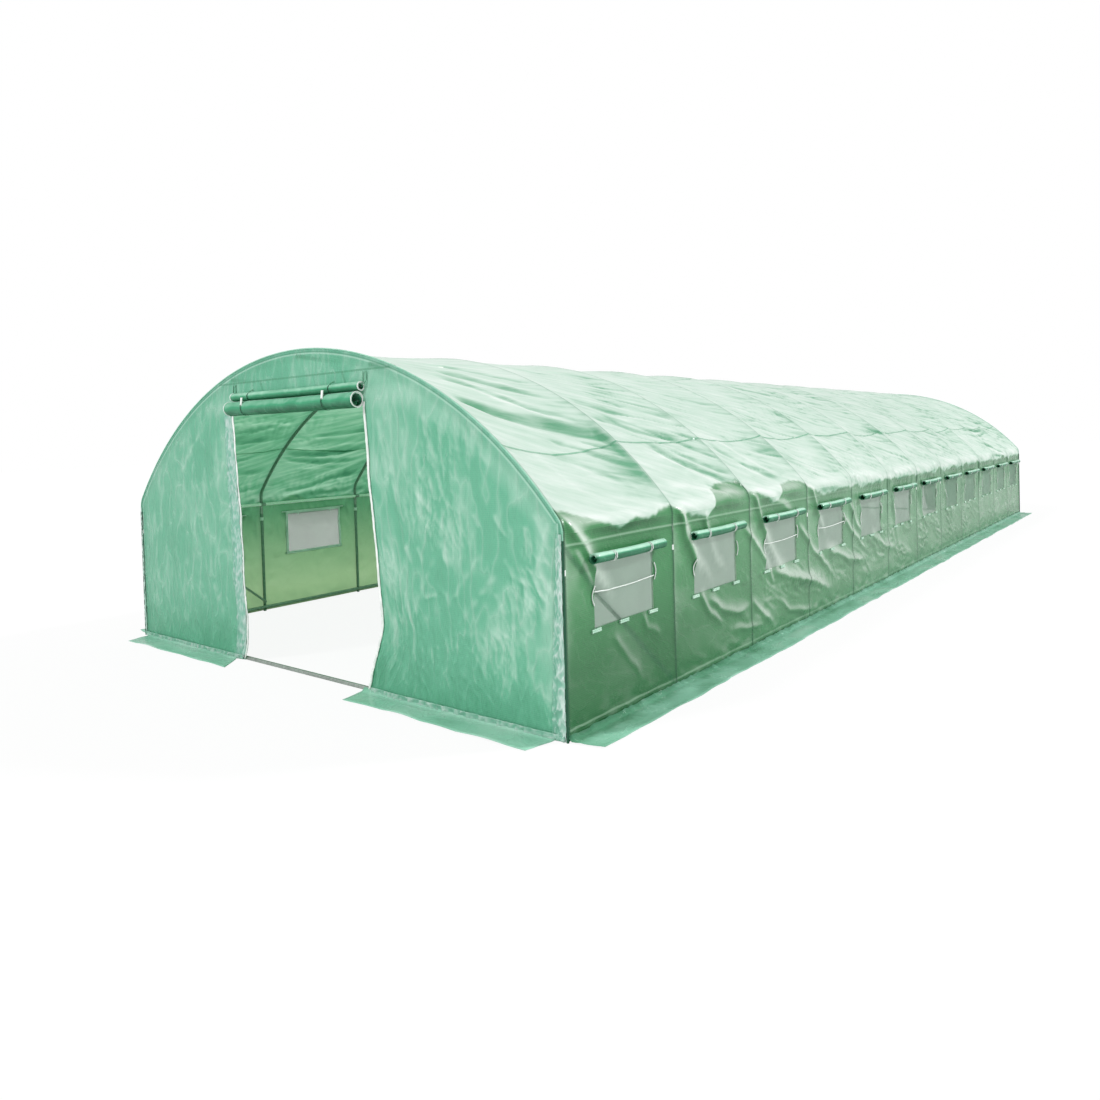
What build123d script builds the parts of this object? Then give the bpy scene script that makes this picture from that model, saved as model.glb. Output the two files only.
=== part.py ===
from build123d import *
import os
from math import acos, asin, atan2, cos, degrees, hypot, pi, sqrt

# Walk-in polytunnel: bent steel hoops, a light tube frame and a sewn translucent cover.
# X runs across the tunnel, Y along it with the front door at the low end, and Z up from the ground.

# Overall sizes, to the centres of the tubes
tunnel_length = 12000.0
tunnel_width = 4000.0
bay_count = 12
crown_height = 1980.0
bend_height = 1010.0
bend_radius = 110.0

# Frame tubes
tube_diameter = 25.0
brace_diameter = 19.0
hoop_sides = 6
tube_sides = 12
seat_gap = 0.3
arch_joint_height = 880.0
eave_rail_height = 915.0
purlin_offset = 700.0
brace_end_gap = 20.0

# Cover
cover_thickness = 3.0
seam_height = 1390.0
screen_thickness = 2.0
screen_lap = 20.0

# Windows, one in each bay
window_width = 550.0
window_sill = 480.0
window_head = 812.0
window_shift = 25.0
window_roll_diameter = 54.0
window_roll_length = 660.0
window_roll_height = 832.0

# Doorways and what is rolled up over them
doorway_width = 1310.0
doorway_head = 1650.0
door_roll_diameter = 90.0
door_roll_length = 1290.0
door_roll_height = 1672.0
door_sheet_thickness = 5.0
door_sheet_turns = 2
door_roll_core_radius = 8.0
screen_roll_diameter = 48.0

# Flaps on the ground
skirt_width = 190.0
skirt_thickness = 3.0
skirt_mitre = 40.0
skirt_corner_gap = 60.0

# Worked out from the sizes above
tube_radius = tube_diameter / 2
half_width = tunnel_width / 2
half_length = tunnel_length / 2
bay_length = tunnel_length / bay_count
hoop_places = [-half_length + bay_length * i for i in range(bay_count + 1)]
bay_centres = [y + bay_length / 2 for y in hoop_places[:-1]]

# The arch is one circle through both eaves and the crown, joined to the legs by small tangent bends
arch_rise = crown_height - bend_height
arch_radius = (half_width**2 + arch_rise**2) / (2 * arch_rise)
arch_centre_height = crown_height - arch_radius
bend_centre_x = half_width - bend_radius
bend_centre_height = arch_centre_height + sqrt((arch_radius - bend_radius) ** 2 - bend_centre_x**2)
bend_angle = degrees(atan2(bend_centre_height - arch_centre_height, bend_centre_x))

# Hoop tubes have corners above and below, where the cover and the rails touch them, and flats along the tunnel
hoop_half_depth = tube_radius * cos(pi / hoop_sides)

# The cover lies just outside the tubes
skin_inside = tube_radius + seat_gap
skin_outside = skin_inside + cover_thickness
wall_inside_x = half_width + skin_inside
wall_outside_x = half_width + skin_outside
gable_inside_y = half_length + hoop_half_depth + seat_gap
gable_outside_y = gable_inside_y + cover_thickness

# Inner tubes lap the hoops on the inside
lap = tube_diameter + seat_gap
inner_rail_x = half_width - lap
base_rail_height = tube_diameter + seat_gap + tube_radius


def on_arch(height, offset):
    """Angle, about the arch's centre, where a curve offset from the tube's centre line has this height."""
    return degrees(asin((height - arch_centre_height) / (arch_radius + offset)))


def write(piece, name):
    piece.part.label = name
    export_step(piece.part, f"parts/{name}.step")


def arch_line(y):
    """Centre line of one arch: a short leg, a bend, the long roof arc, a bend and a short leg."""
    with BuildLine(Plane.XZ.offset(-y)) as line:
        Line((half_width, arch_joint_height), (half_width, bend_centre_height))
        CenterArc((bend_centre_x, bend_centre_height), bend_radius, 0, bend_angle)
        CenterArc((0, arch_centre_height), arch_radius, bend_angle, 180 - 2 * bend_angle)
        CenterArc((-bend_centre_x, bend_centre_height), bend_radius, 180 - bend_angle, bend_angle)
        Line((-half_width, bend_centre_height), (-half_width, arch_joint_height))
    return line


def skin_strip(start_angle, end_angle, side, with_bend=False):
    """Strip of roof cover along the whole tunnel, between two angles on the arch, with the bend below it."""
    inside = arch_radius + skin_inside
    outside = arch_radius + skin_outside
    span = end_angle - start_angle
    centre = (0, arch_centre_height)
    with BuildPart() as strip:
        with BuildSketch(Plane.XZ.offset(-gable_inside_y)):
            with BuildLine():
                inner = CenterArc(centre, inside, start_angle, span)
                outer = CenterArc(centre, outside, start_angle, span)
                Line(inner @ 1, outer @ 1)
                if with_bend:
                    corner = (bend_centre_x, bend_centre_height)
                    inner_bend = CenterArc(corner, bend_radius + skin_inside, 0, bend_angle)
                    outer_bend = CenterArc(corner, bend_radius + skin_outside, 0, bend_angle)
                    Line(inner_bend @ 0, outer_bend @ 0)
                else:
                    Line(inner @ 0, outer @ 0)
            make_face()
            if side < 0:
                mirror(about=Plane.YZ, mode=Mode.REPLACE)
        extrude(amount=2 * gable_inside_y)
    return strip


def end_outline():
    """Outline of the cover seen from the end, down to the ground flaps."""
    with BuildLine() as outline:
        corner = (bend_centre_x, bend_centre_height)
        other = (-bend_centre_x, bend_centre_height)
        Line((wall_outside_x, skirt_thickness), (wall_outside_x, bend_centre_height))
        CenterArc(corner, bend_radius + skin_outside, 0, bend_angle)
        CenterArc((0, arch_centre_height), arch_radius + skin_outside, bend_angle, 180 - 2 * bend_angle)
        CenterArc(other, bend_radius + skin_outside, 180 - bend_angle, bend_angle)
        Line((-wall_outside_x, bend_centre_height), (-wall_outside_x, skirt_thickness))
        Line((-wall_outside_x, skirt_thickness), (wall_outside_x, skirt_thickness))
    return outline


def gable_panel(end, low_x, high_x, low_z, high_z):
    """Part of the end cover inside a box, end being -1 at the front and 1 at the back."""
    low_y = gable_inside_y if end > 0 else -gable_outside_y
    with BuildPart() as panel:
        with BuildSketch(Plane.XZ.offset(-low_y - cover_thickness)):
            add(end_outline().line)
            make_face()
            with Locations(((low_x + high_x) / 2, (low_z + high_z) / 2)):
                Rectangle(high_x - low_x, high_z - low_z, mode=Mode.INTERSECT)
        extrude(amount=cover_thickness)
    return panel


def rolled_sheet(length, diameter, thickness, turns, end, y, height):
    """Sheet wound on itself: half-turn arcs, each larger by one step, on two centres in turn.

    The outer edge leaves the roll on the side of the cover that it hangs from.
    """
    core = door_roll_core_radius
    step = (diameter / 2 - thickness - core) / (2 * turns - 1)
    with BuildPart() as roll:
        with BuildSketch(Plane.YZ.offset(-length / 2)):
            for half_turn in range(2 * turns):
                is_upper = half_turn % 2 == 0
                radius = core + step * half_turn
                centre = (y + end * step, height) if is_upper else (y, height)
                with BuildLine():
                    inner = CenterArc(centre, radius, 0 if is_upper else 180, 180)
                    outer = CenterArc(centre, radius + thickness, 0 if is_upper else 180, 180)
                    Line(inner @ 0, outer @ 0)
                    Line(inner @ 1, outer @ 1)
                make_face()
        extrude(amount=length)
    return roll


os.makedirs("parts", exist_ok=True)

# Hoops
for number, hoop_y in enumerate(hoop_places, start=1):
    centre_line = arch_line(hoop_y)
    with BuildPart() as arch:
        add(centre_line.line)
        with BuildSketch(Plane.XY.offset(arch_joint_height)):
            with Locations((half_width, hoop_y)):
                RegularPolygon(tube_radius, hoop_sides)
        sweep(path=centre_line.wire())
    write(arch, f"arch_{number:02d}")

with BuildPart() as side_posts:
    with BuildSketch(Plane.XY):
        with GridLocations(tunnel_width, bay_length, 2, bay_count + 1):
            RegularPolygon(tube_radius, hoop_sides)
    extrude(amount=arch_joint_height)
write(side_posts, "side_posts")

# Tubes along the tunnel, inside the hoops
rail_end = half_length + hoop_half_depth


def long_tubes(places):
    with BuildPart() as tubes:
        with BuildSketch(Plane.XZ.offset(-rail_end)):
            with Locations(*places):
                RegularPolygon(tube_radius, tube_sides)
        extrude(amount=2 * rail_end)
    return tubes


purlin_radius = arch_radius - lap
purlin_height = arch_centre_height + sqrt(purlin_radius**2 - purlin_offset**2)
base_rails = long_tubes([(-inner_rail_x, base_rail_height), (inner_rail_x, base_rail_height)])
eave_rails = long_tubes([(-inner_rail_x, eave_rail_height), (inner_rail_x, eave_rail_height)])
side_purlins = long_tubes([(-purlin_offset, purlin_height), (purlin_offset, purlin_height)])
ridge_purlin = long_tubes([(0, crown_height - lap)])
write(base_rails, "base_rails")
write(eave_rails, "eave_rails")
write(side_purlins, "side_purlins")
write(ridge_purlin, "ridge_purlin")

# Tubes across each end: the threshold between the corner posts, and the header over the door, just under
# the side purlins
door_header_height = purlin_height - lap
threshold_length = tunnel_width - 2 * (tube_radius + seat_gap)
threshold_y = gable_inside_y - seat_gap - tube_radius
header_y = half_length - hoop_half_depth - seat_gap - tube_radius
header_reach = sqrt(arch_radius**2 - (door_header_height - arch_centre_height) ** 2)
with BuildPart() as end_rails:
    with BuildSketch(Plane.YZ.offset(-threshold_length / 2)):
        with Locations((-threshold_y, tube_radius), (threshold_y, tube_radius)):
            RegularPolygon(tube_radius, tube_sides)
    extrude(amount=threshold_length)
write(end_rails, "end_rails")

with BuildPart() as door_headers:
    with BuildSketch(Plane.YZ.offset(-header_reach)):
        with Locations((-header_y, door_header_height), (header_y, door_header_height)):
            RegularPolygon(tube_radius, tube_sides)
    extrude(amount=2 * header_reach)
write(door_headers, "door_headers")

# Braces lap the posts between the base rail and the eave rail, in the first and last bay
brace_radius = brace_diameter / 2
brace_x = half_width - tube_radius - seat_gap - brace_radius
brace_low = base_rail_height + tube_radius + brace_radius + brace_end_gap
brace_high = eave_rail_height - tube_radius - brace_radius - brace_end_gap
brace_rise = brace_high - brace_low
with BuildPart() as diagonal_braces:
    for side in (-1, 1):
        for end in (-1, 1):
            foot = Vector(side * brace_x, end * (half_length - bay_length), brace_low)
            run = Vector(0, end * bay_length, brace_rise)
            with BuildSketch(Plane(origin=foot, x_dir=(1, 0, 0), z_dir=run)):
                RegularPolygon(brace_radius, tube_sides)
            extrude(amount=hypot(bay_length, brace_rise))
write(diagonal_braces, "diagonal_braces")

# Side walls with a window in each bay
window_height = window_head - window_sill
window_centre_height = (window_head + window_sill) / 2
window_places = [y + window_shift for y in bay_centres]
wall_height = bend_centre_height - skirt_thickness
for name, side in (("left", -1), ("right", 1)):
    wall_low_x = wall_inside_x if side > 0 else -wall_outside_x
    with BuildPart() as side_cover:
        with BuildSketch(Plane.YZ.offset(wall_low_x)):
            with Locations((0, skirt_thickness + wall_height / 2)):
                Rectangle(2 * gable_inside_y, wall_height)
            with Locations(*[(y, window_centre_height) for y in window_places]):
                Rectangle(window_width, window_height, mode=Mode.SUBTRACT)
        extrude(amount=cover_thickness)
    write(side_cover, f"side_cover_{name}")

    screen_low_x = wall_inside_x - screen_thickness if side > 0 else -wall_inside_x
    with BuildPart() as window_screens:
        with BuildSketch(Plane.YZ.offset(screen_low_x)):
            with Locations(*[(y, window_centre_height) for y in window_places]):
                Rectangle(window_width + 2 * screen_lap, window_height + 2 * screen_lap)
        extrude(amount=screen_thickness)
    write(window_screens, f"window_screens_{name}")

    window_roll_x = side * (wall_outside_x + seat_gap + window_roll_diameter / 2)
    with BuildPart() as window_rolls:
        for window_y in window_places:
            with BuildSketch(Plane.XZ.offset(window_roll_length / 2 - window_y)):
                with Locations((window_roll_x, window_roll_height)):
                    RegularPolygon(window_roll_diameter / 2, tube_sides)
            extrude(amount=-window_roll_length)
    write(window_rolls, f"window_rolls_{name}")

# Roof cover, sewn from strips along the tunnel
seam_angle = on_arch(seam_height, skin_outside)
purlin_angle = degrees(acos(purlin_offset / (arch_radius + skin_outside)))
for name, side in (("left", -1), ("right", 1)):
    write(skin_strip(bend_angle, seam_angle, side, with_bend=True), f"eave_cover_{name}")
    write(skin_strip(seam_angle, purlin_angle, side), f"roof_cover_{name}_lower")
    write(skin_strip(purlin_angle, 90, side), f"roof_cover_{name}_upper")

# End covers, beside and over each doorway, with the rolled door and its rolled screen
half_door = doorway_width / 2
top = crown_height + skin_outside
door_roll_y = gable_outside_y + seat_gap + door_roll_diameter / 2
screen_roll_y = gable_outside_y + seat_gap + screen_roll_diameter / 2
roll_spacing = (door_roll_diameter + screen_roll_diameter) / 2 + seat_gap
screen_roll_height = door_roll_height + sqrt(roll_spacing**2 - (door_roll_y - screen_roll_y) ** 2)
for name, end in (("front", -1), ("back", 1)):
    write(gable_panel(end, -wall_outside_x, -half_door, skirt_thickness, top), f"{name}_gable_left")
    write(gable_panel(end, half_door, wall_outside_x, skirt_thickness, top), f"{name}_gable_right")
    write(gable_panel(end, -half_door, half_door, doorway_head, top), f"{name}_gable_top")
    door_roll = rolled_sheet(
        door_roll_length,
        door_roll_diameter,
        door_sheet_thickness,
        door_sheet_turns,
        end,
        end * door_roll_y,
        door_roll_height,
    )
    write(door_roll, f"{name}_door_roll")
    with BuildPart() as screen_roll:
        with BuildSketch(Plane.YZ.offset(-door_roll_length / 2)):
            with Locations((end * screen_roll_y, screen_roll_height)):
                RegularPolygon(screen_roll_diameter / 2, tube_sides)
        extrude(amount=door_roll_length)
    write(screen_roll, f"{name}_screen_roll")

# Flaps on the ground, with mitred free ends and a gap at each corner
side_flap_end = gable_outside_y
with BuildPart() as side_skirts:
    for side in (-1, 1):
        with BuildSketch(Plane.XY):
            with BuildLine():
                Polyline(
                    (side * wall_inside_x, -side_flap_end),
                    (side * (wall_inside_x + skirt_width), skirt_mitre - side_flap_end),
                    (side * (wall_inside_x + skirt_width), side_flap_end - skirt_mitre),
                    (side * wall_inside_x, side_flap_end),
                    close=True,
                )
            make_face()
        extrude(amount=skirt_thickness)
write(side_skirts, "side_skirts")

end_flap_end = wall_inside_x - skirt_corner_gap
with BuildPart() as end_skirts:
    for side in (-1, 1):
        for end in (-1, 1):
            with BuildSketch(Plane.XY):
                with BuildLine():
                    Polyline(
                        (side * half_door, end * gable_inside_y),
                        (side * half_door, end * (gable_inside_y + skirt_width)),
                        (side * (end_flap_end - skirt_mitre), end * (gable_inside_y + skirt_width)),
                        (side * end_flap_end, end * gable_inside_y),
                        close=True,
                    )
                make_face()
            extrude(amount=skirt_thickness)
write(end_skirts, "end_skirts")
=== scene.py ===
import math

import bmesh
import bpy
import numpy as np
from mathutils import Matrix, Vector


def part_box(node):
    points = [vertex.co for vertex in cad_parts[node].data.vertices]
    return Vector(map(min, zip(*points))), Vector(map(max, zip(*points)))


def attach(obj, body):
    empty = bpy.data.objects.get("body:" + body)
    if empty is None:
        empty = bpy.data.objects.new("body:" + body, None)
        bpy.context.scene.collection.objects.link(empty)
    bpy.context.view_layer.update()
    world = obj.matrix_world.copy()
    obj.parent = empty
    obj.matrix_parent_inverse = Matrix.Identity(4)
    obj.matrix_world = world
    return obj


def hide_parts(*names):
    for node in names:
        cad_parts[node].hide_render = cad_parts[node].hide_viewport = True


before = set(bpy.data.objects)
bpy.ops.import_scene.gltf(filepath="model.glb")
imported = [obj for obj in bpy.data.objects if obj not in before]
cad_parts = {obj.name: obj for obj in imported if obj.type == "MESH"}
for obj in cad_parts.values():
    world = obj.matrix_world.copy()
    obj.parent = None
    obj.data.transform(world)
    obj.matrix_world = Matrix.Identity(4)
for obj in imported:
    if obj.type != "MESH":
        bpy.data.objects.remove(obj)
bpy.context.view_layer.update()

# Walk-in polytunnel, in metres: X across, Y along with the photographed door at the low end, Z up.
# Sizes come from the frame. A film is one skin, measured by y and by its distance s from the right foot.

bay_count = sum(name.startswith("arch_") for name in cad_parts) - 1
tube_radius = (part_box("eave_rails")[1].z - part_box("eave_rails")[0].z) / 2
half_length = sum(point.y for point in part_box(f"arch_{bay_count + 1:02d}")) / 2
half_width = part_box("arch_01")[1].x - tube_radius
crown_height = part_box("arch_01")[1].z - tube_radius
bend_height = 1.010
bend_radius = 0.110
leg_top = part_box("side_posts")[1].z
bay = 2 * half_length / bay_count

arch_rise = crown_height - bend_height
arch_radius = (half_width**2 + arch_rise**2) / (2 * arch_rise)
arch_centre = crown_height - arch_radius
bend_x = half_width - bend_radius
bend_z = arch_centre + math.sqrt((arch_radius - bend_radius) ** 2 - bend_x**2)
bend_angle = math.atan2(bend_z - arch_centre, bend_x)

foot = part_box("side_cover_right")[0].z
wall_x = sum(point.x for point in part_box("side_cover_right")) / 2
film_offset = wall_x - half_width
gable_y = abs(sum(point.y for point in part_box("front_gable_left")) / 2)
door_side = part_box("front_gable_right")[0].x
door_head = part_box("front_gable_top")[0].z
seam_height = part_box("eave_cover_right")[1].z
purlin_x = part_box("side_purlins")[1].x - tube_radius

# Radii of the skin, and distances along it from the foot of the wall
arch_skin = arch_radius + film_offset
bend_skin = bend_radius + film_offset
wall_end = bend_z - foot
bend_end = wall_end + bend_skin * bend_angle
bend_side = bend_x + bend_skin * math.cos(bend_angle)
seam_s = bend_end + arch_skin * (math.asin((seam_height - arch_centre) / arch_skin) - bend_angle)
purlin_s = bend_end + arch_skin * (math.acos(purlin_x / arch_skin) - bend_angle)
crown_s = bend_end + arch_skin * (math.pi / 2 - bend_angle)

# Windows, from the lap of their screens
screen_lap = 0.020
screen_low, screen_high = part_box("window_screens_right")
window_sill = screen_low.z + screen_lap
window_head = screen_high.z - screen_lap
window_near = screen_low.y + screen_lap + half_length
window_far = bay - (half_length - (screen_high.y - screen_lap))


def smooth(low, high, value):
    """Zero below low, one above high, and a soft step between."""
    share = np.clip((value - low) / (high - low), 0, 1)
    return share * share * (3 - 2 * share)


noise_turns = {}


def noise(u, v, seed):
    """Soft random field of about -1 to 1, whose lumps are one unit across."""
    if seed not in noise_turns:
        noise_turns[seed] = np.random.default_rng(seed).uniform(0, 2 * math.pi, (97, 89))
    turns = noise_turns[seed]
    column, row = np.floor(u).astype(int), np.floor(v).astype(int)
    x, y = u - column, v - row
    fade_x, fade_y = smooth(0, 1, x), smooth(0, 1, y)

    def corner(i, j):
        turn = turns[(column + i) % 97, (row + j) % 89]
        return np.cos(turn) * (x - i) + np.sin(turn) * (y - j)

    low = corner(0, 0) * (1 - fade_x) + corner(1, 0) * fade_x
    high = corner(0, 1) * (1 - fade_x) + corner(1, 1) * fade_x
    return 1.6 * (low * (1 - fade_y) + high * fade_y)


def scattered(low, high, u, v, seed):
    """Soft patches, 0 to 1, where one kind of fold shows."""
    return smooth(low, high, noise(u, v, seed))


def creases(along, across, length, width, seed, sharp=2.0):
    """Narrow folds, 0 to 1, that run along one way and wander a little."""
    drift = 0.6 * noise(along / length * 0.7 + 9, across / width * 0.25, seed + 50)
    field = noise(along / length, across / width + drift, seed)
    return np.clip(1 - 2.4 * np.abs(field), 0, 1) ** sharp


# Folds laid near each side's own end: half width, height (valleys below zero) and the line they
# follow, as the run from the end hoop and the height up the skin
drawn_folds = [
    # Long folds of the roof in the first bay, from high on the end hoop down to the next one
    (0.080, -0.030, [(0.05, 2.04), (0.26, 1.82), (0.52, 1.69), (0.74, 1.62), (1.00, 1.57)]),
    (0.030, 0.014, [(0.12, 2.24), (0.31, 2.08), (0.45, 1.90), (0.62, 1.77), (0.82, 1.67), (1.02, 1.58)]),
    (0.028, -0.012, [(0.18, 2.30), (0.40, 2.14), (0.50, 2.00), (0.60, 1.84), (0.80, 1.76), (1.00, 1.70)]),
    (0.022, 0.010, [(0.20, 2.38), (0.35, 2.25), (0.46, 2.08), (0.60, 1.92), (0.80, 1.82)]),
    (0.028, -0.011, [(0.30, 2.45), (0.48, 2.30), (0.62, 2.16), (0.80, 2.05), (0.95, 1.92)]),
    (0.020, 0.009, [(0.40, 2.46), (0.60, 2.27), (0.75, 2.14), (0.92, 2.06)]),
    (0.024, -0.008, [(0.45, 2.62), (0.70, 2.40), (0.90, 2.25), (1.05, 2.15)]),
    (0.020, 0.006, [(0.30, 2.75), (0.60, 2.55), (0.90, 2.42)]),
    # Short folds below the seam, before the second hoop
    (0.022, -0.009, [(0.47, 1.54), (0.59, 1.46), (0.72, 1.39), (0.92, 1.32)]),
    (0.020, 0.009, [(0.53, 1.49), (0.66, 1.43), (0.84, 1.40), (0.98, 1.36)]),
    (0.018, -0.007, [(0.72, 1.52), (0.87, 1.46), (0.98, 1.43)]),
    (0.022, -0.007, [(0.34, 1.43), (0.50, 1.35), (0.66, 1.27), (0.83, 1.17)]),
    (0.030, 0.005, [(0.20, 1.43), (0.28, 1.28), (0.37, 1.15)]),
    # Second and third bays of the roof
    (0.030, -0.009, [(1.05, 1.99), (1.24, 1.90), (1.37, 1.83), (1.60, 1.75)]),
    (0.030, -0.012, [(1.02, 1.80), (1.20, 1.73), (1.37, 1.61), (1.60, 1.54), (1.92, 1.48)]),
    (0.022, 0.009, [(1.20, 1.80), (1.45, 1.70), (1.64, 1.62), (1.94, 1.54)]),
    (0.030, -0.017, [(1.30, 1.48), (1.57, 1.29), (1.83, 1.16), (2.06, 1.05)]),
    (0.022, 0.010, [(1.30, 1.38), (1.55, 1.22), (1.80, 1.10)]),
    (0.020, -0.009, [(1.50, 1.42), (1.85, 1.23), (2.08, 1.12)]),
    (0.030, 0.012, [(1.10, 1.12), (1.32, 1.13), (1.53, 1.07), (2.00, 1.01)]),
    (0.025, -0.012, [(2.06, 1.48), (2.35, 1.24), (2.80, 1.04)]),
    (0.020, 0.009, [(2.20, 1.50), (2.42, 1.30), (2.74, 1.10)]),
    (0.030, 0.016, [(2.08, 1.06), (2.34, 0.97), (2.60, 0.88), (2.81, 0.81)]),
    (0.030, 0.012, [(1.07, 1.03), (1.27, 0.96), (1.54, 0.92)]),
    # Pulled from the bends down the walls, across the windows
    (0.022, 0.020, [(0.02, 1.08), (0.06, 0.99), (0.16, 0.90), (0.25, 0.77), (0.38, 0.62), (0.47, 0.55)]),
    (0.016, 0.007, [(0.08, 0.90), (0.20, 0.72), (0.30, 0.62)]),
    (0.014, 0.007, [(0.69, 0.48), (0.73, 0.39), (0.89, 0.32)]),
    (0.014, 0.006, [(0.40, 0.42), (0.52, 0.30), (0.62, 0.20), (0.68, 0.10)]),
    (0.020, 0.020, [(1.05, 1.04), (1.14, 0.84), (1.24, 0.70), (1.32, 0.57), (1.34, 0.46)]),
    (0.016, 0.013, [(1.08, 1.00), (1.26, 0.72), (1.39, 0.60), (1.54, 0.47)]),
    (0.017, 0.014, [(1.36, 0.98), (1.46, 0.77), (1.55, 0.62), (1.74, 0.54)]),
    (0.017, 0.013, [(1.90, 0.82), (2.15, 0.64), (2.31, 0.48), (2.43, 0.30)]),
    (0.020, 0.020, [(2.05, 1.04), (2.21, 0.79), (2.35, 0.61), (2.50, 0.48), (2.65, 0.42)]),
    (0.017, 0.014, [(2.80, 0.76), (3.11, 0.51), (3.41, 0.35), (3.66, 0.20)]),
    (0.020, 0.020, [(3.05, 1.02), (3.18, 0.86), (3.24, 0.78), (3.38, 0.61), (3.46, 0.54)]),
    (0.017, 0.014, [(3.75, 0.74), (3.95, 0.58), (4.17, 0.46), (4.46, 0.30)]),
    (0.017, 0.014, [(3.93, 0.82), (4.11, 0.60), (4.30, 0.50)]),
    # Crumples under the windows
    (0.016, 0.012, [(1.31, 0.49), (1.44, 0.33), (1.63, 0.23)]),
    (0.018, 0.014, [(1.40, 0.44), (1.56, 0.35), (1.78, 0.28), (2.05, 0.29)]),
    (0.016, 0.012, [(2.00, 0.32), (2.21, 0.18), (2.39, 0.09)]),
    (0.012, 0.007, [(1.72, 0.18), (1.96, 0.15), (2.22, 0.12)]),
    (0.028, 0.024, [(2.32, 0.48), (2.65, 0.38), (3.03, 0.30), (3.32, 0.21), (3.58, 0.12)]),
    (0.014, 0.009, [(2.46, 0.26), (2.64, 0.14), (3.14, 0.05)]),
    (0.024, 0.020, [(3.38, 0.49), (3.91, 0.34), (4.48, 0.25)]),
    (0.022, 0.017, [(4.48, 0.49), (4.89, 0.33), (5.27, 0.26)]),
    # Folds near the far end of each side, seen from inside through the doorway
    (0.020, 0.010, [(10.98, 1.53), (10.70, 1.52), (10.52, 1.56), (10.32, 1.59), (10.02, 1.68)]),
    (0.026, -0.014, [(10.98, 1.47), (10.58, 1.47), (10.34, 1.51), (10.05, 1.58)]),
    (0.018, 0.008, [(10.70, 1.42), (10.40, 1.41), (10.02, 1.53)]),
    (0.024, -0.012, [(10.98, 1.42), (10.60, 1.36), (10.42, 1.36), (10.02, 1.39)]),
    (0.018, 0.008, [(10.80, 1.28), (10.56, 1.28), (10.38, 1.38), (10.02, 1.46)]),
    (0.020, 0.010, [(10.60, 1.14), (10.24, 1.25), (9.98, 1.38)]),
    (0.030, -0.016, [(10.85, 0.98), (10.56, 1.05), (10.40, 1.12), (10.16, 1.19), (9.90, 1.30)]),
    (0.020, 0.010, [(10.85, 0.95), (10.44, 1.01), (10.14, 1.06), (9.86, 1.12)]),
    (0.024, -0.012, [(10.75, 0.94), (10.34, 0.96), (10.02, 0.97), (9.70, 0.96)]),
    (0.022, -0.012, [(10.85, 1.70), (10.54, 1.77), (10.28, 1.81), (10.02, 1.84)]),
    (0.020, 0.009, [(10.85, 1.66), (10.50, 1.70), (10.28, 1.76), (10.02, 1.80)]),
    (0.026, -0.010, [(11.60, 1.66), (11.24, 1.68), (10.98, 1.71)]),
    (0.026, 0.009, [(11.70, 1.86), (11.30, 1.87), (10.98, 1.84)]),
    (0.030, -0.009, [(11.75, 1.30), (11.40, 1.26), (10.98, 1.27)]),
]


def drawn_fold(run, up, width, height, line):
    """One drawn fold, 0 to 1: a sharp crest, or a soft valley where height is below zero. Both ends fade."""
    points = np.array(line)
    low, high = points.min(axis=0) - 4 * width, points.max(axis=0) + 4 * width
    close = (run > low[0]) & (run < high[0]) & (up > low[1]) & (up < high[1])
    result = np.zeros_like(run)
    spots = np.stack([run[close], up[close]], axis=1)
    lengths = np.hypot(*np.diff(points, axis=0).T)
    away = np.full(len(spots), np.inf)
    share = np.zeros(len(spots))
    for start, stop, length, before in zip(points, points[1:], lengths, np.cumsum(lengths) - lengths):
        way = (stop - start) / length
        along = np.clip((spots - start) @ way, 0, length)
        distance = np.hypot(*(spots - start - np.outer(along, way)).T)
        share = np.where(distance < away, (before + along) / lengths.sum(), share)
        away = np.minimum(distance, away)
    broad = width > 0.05
    away = away / (width * (0.35 + 0.85 * share) if broad else width)
    profile = np.exp(0.6 - np.sqrt(away**2 + 0.36)) if height > 0 else np.exp(-(away**2))
    result[close] = profile * smooth(0, 0.15, share) * smooth(0, 0.05 if broad else 0.35, 1 - share)
    return result


# Lower edge of the pale roof, where its painted sky light ends, along the first bays: the run from the end
# hoop, and how far the edge hangs below the top of the wall
roof_edge_line = [
    (0.0, -0.13), (0.10, -0.11), (0.22, -0.06), (0.40, 0.00), (0.50, 0.02), (0.57, -0.01), (0.64, -0.02),
    (0.74, 0.00), (0.85, -0.03), (1.00, -0.06), (1.08, -0.02), (1.20, 0.02), (1.42, 0.05), (1.50, 0.00),
    (1.56, -0.11), (1.68, -0.16), (1.85, -0.17), (1.98, -0.16), (2.02, -0.07), (2.20, -0.02), (2.42, 0.05),
    (2.50, 0.01), (2.60, -0.08), (2.80, -0.11), (2.98, -0.07), (3.05, -0.02), (3.40, 0.07), (3.70, 0.03),
    (4.00, 0.04),
]


def roof_edge(run):
    """Height up the skin where the pale roof's painted sky light gives way to the green wall."""
    wander = 0.05 * noise(run / 0.22, 5.0, 55) * smooth(3.0, 4.5, run)
    drop = np.interp(run, *zip(*roof_edge_line)) + wander
    return wall_end - drop + 0.012 * noise(run / 0.05, 6.0, 56)


def from_end(y, s):
    """The side of the tunnel, the height up the skin and the run from that side's own end hoop."""
    side = np.where(s > crown_s, -1.0, 1.0)
    return side, np.where(s > crown_s, 2 * crown_s - s, s), half_length + side * y


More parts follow.
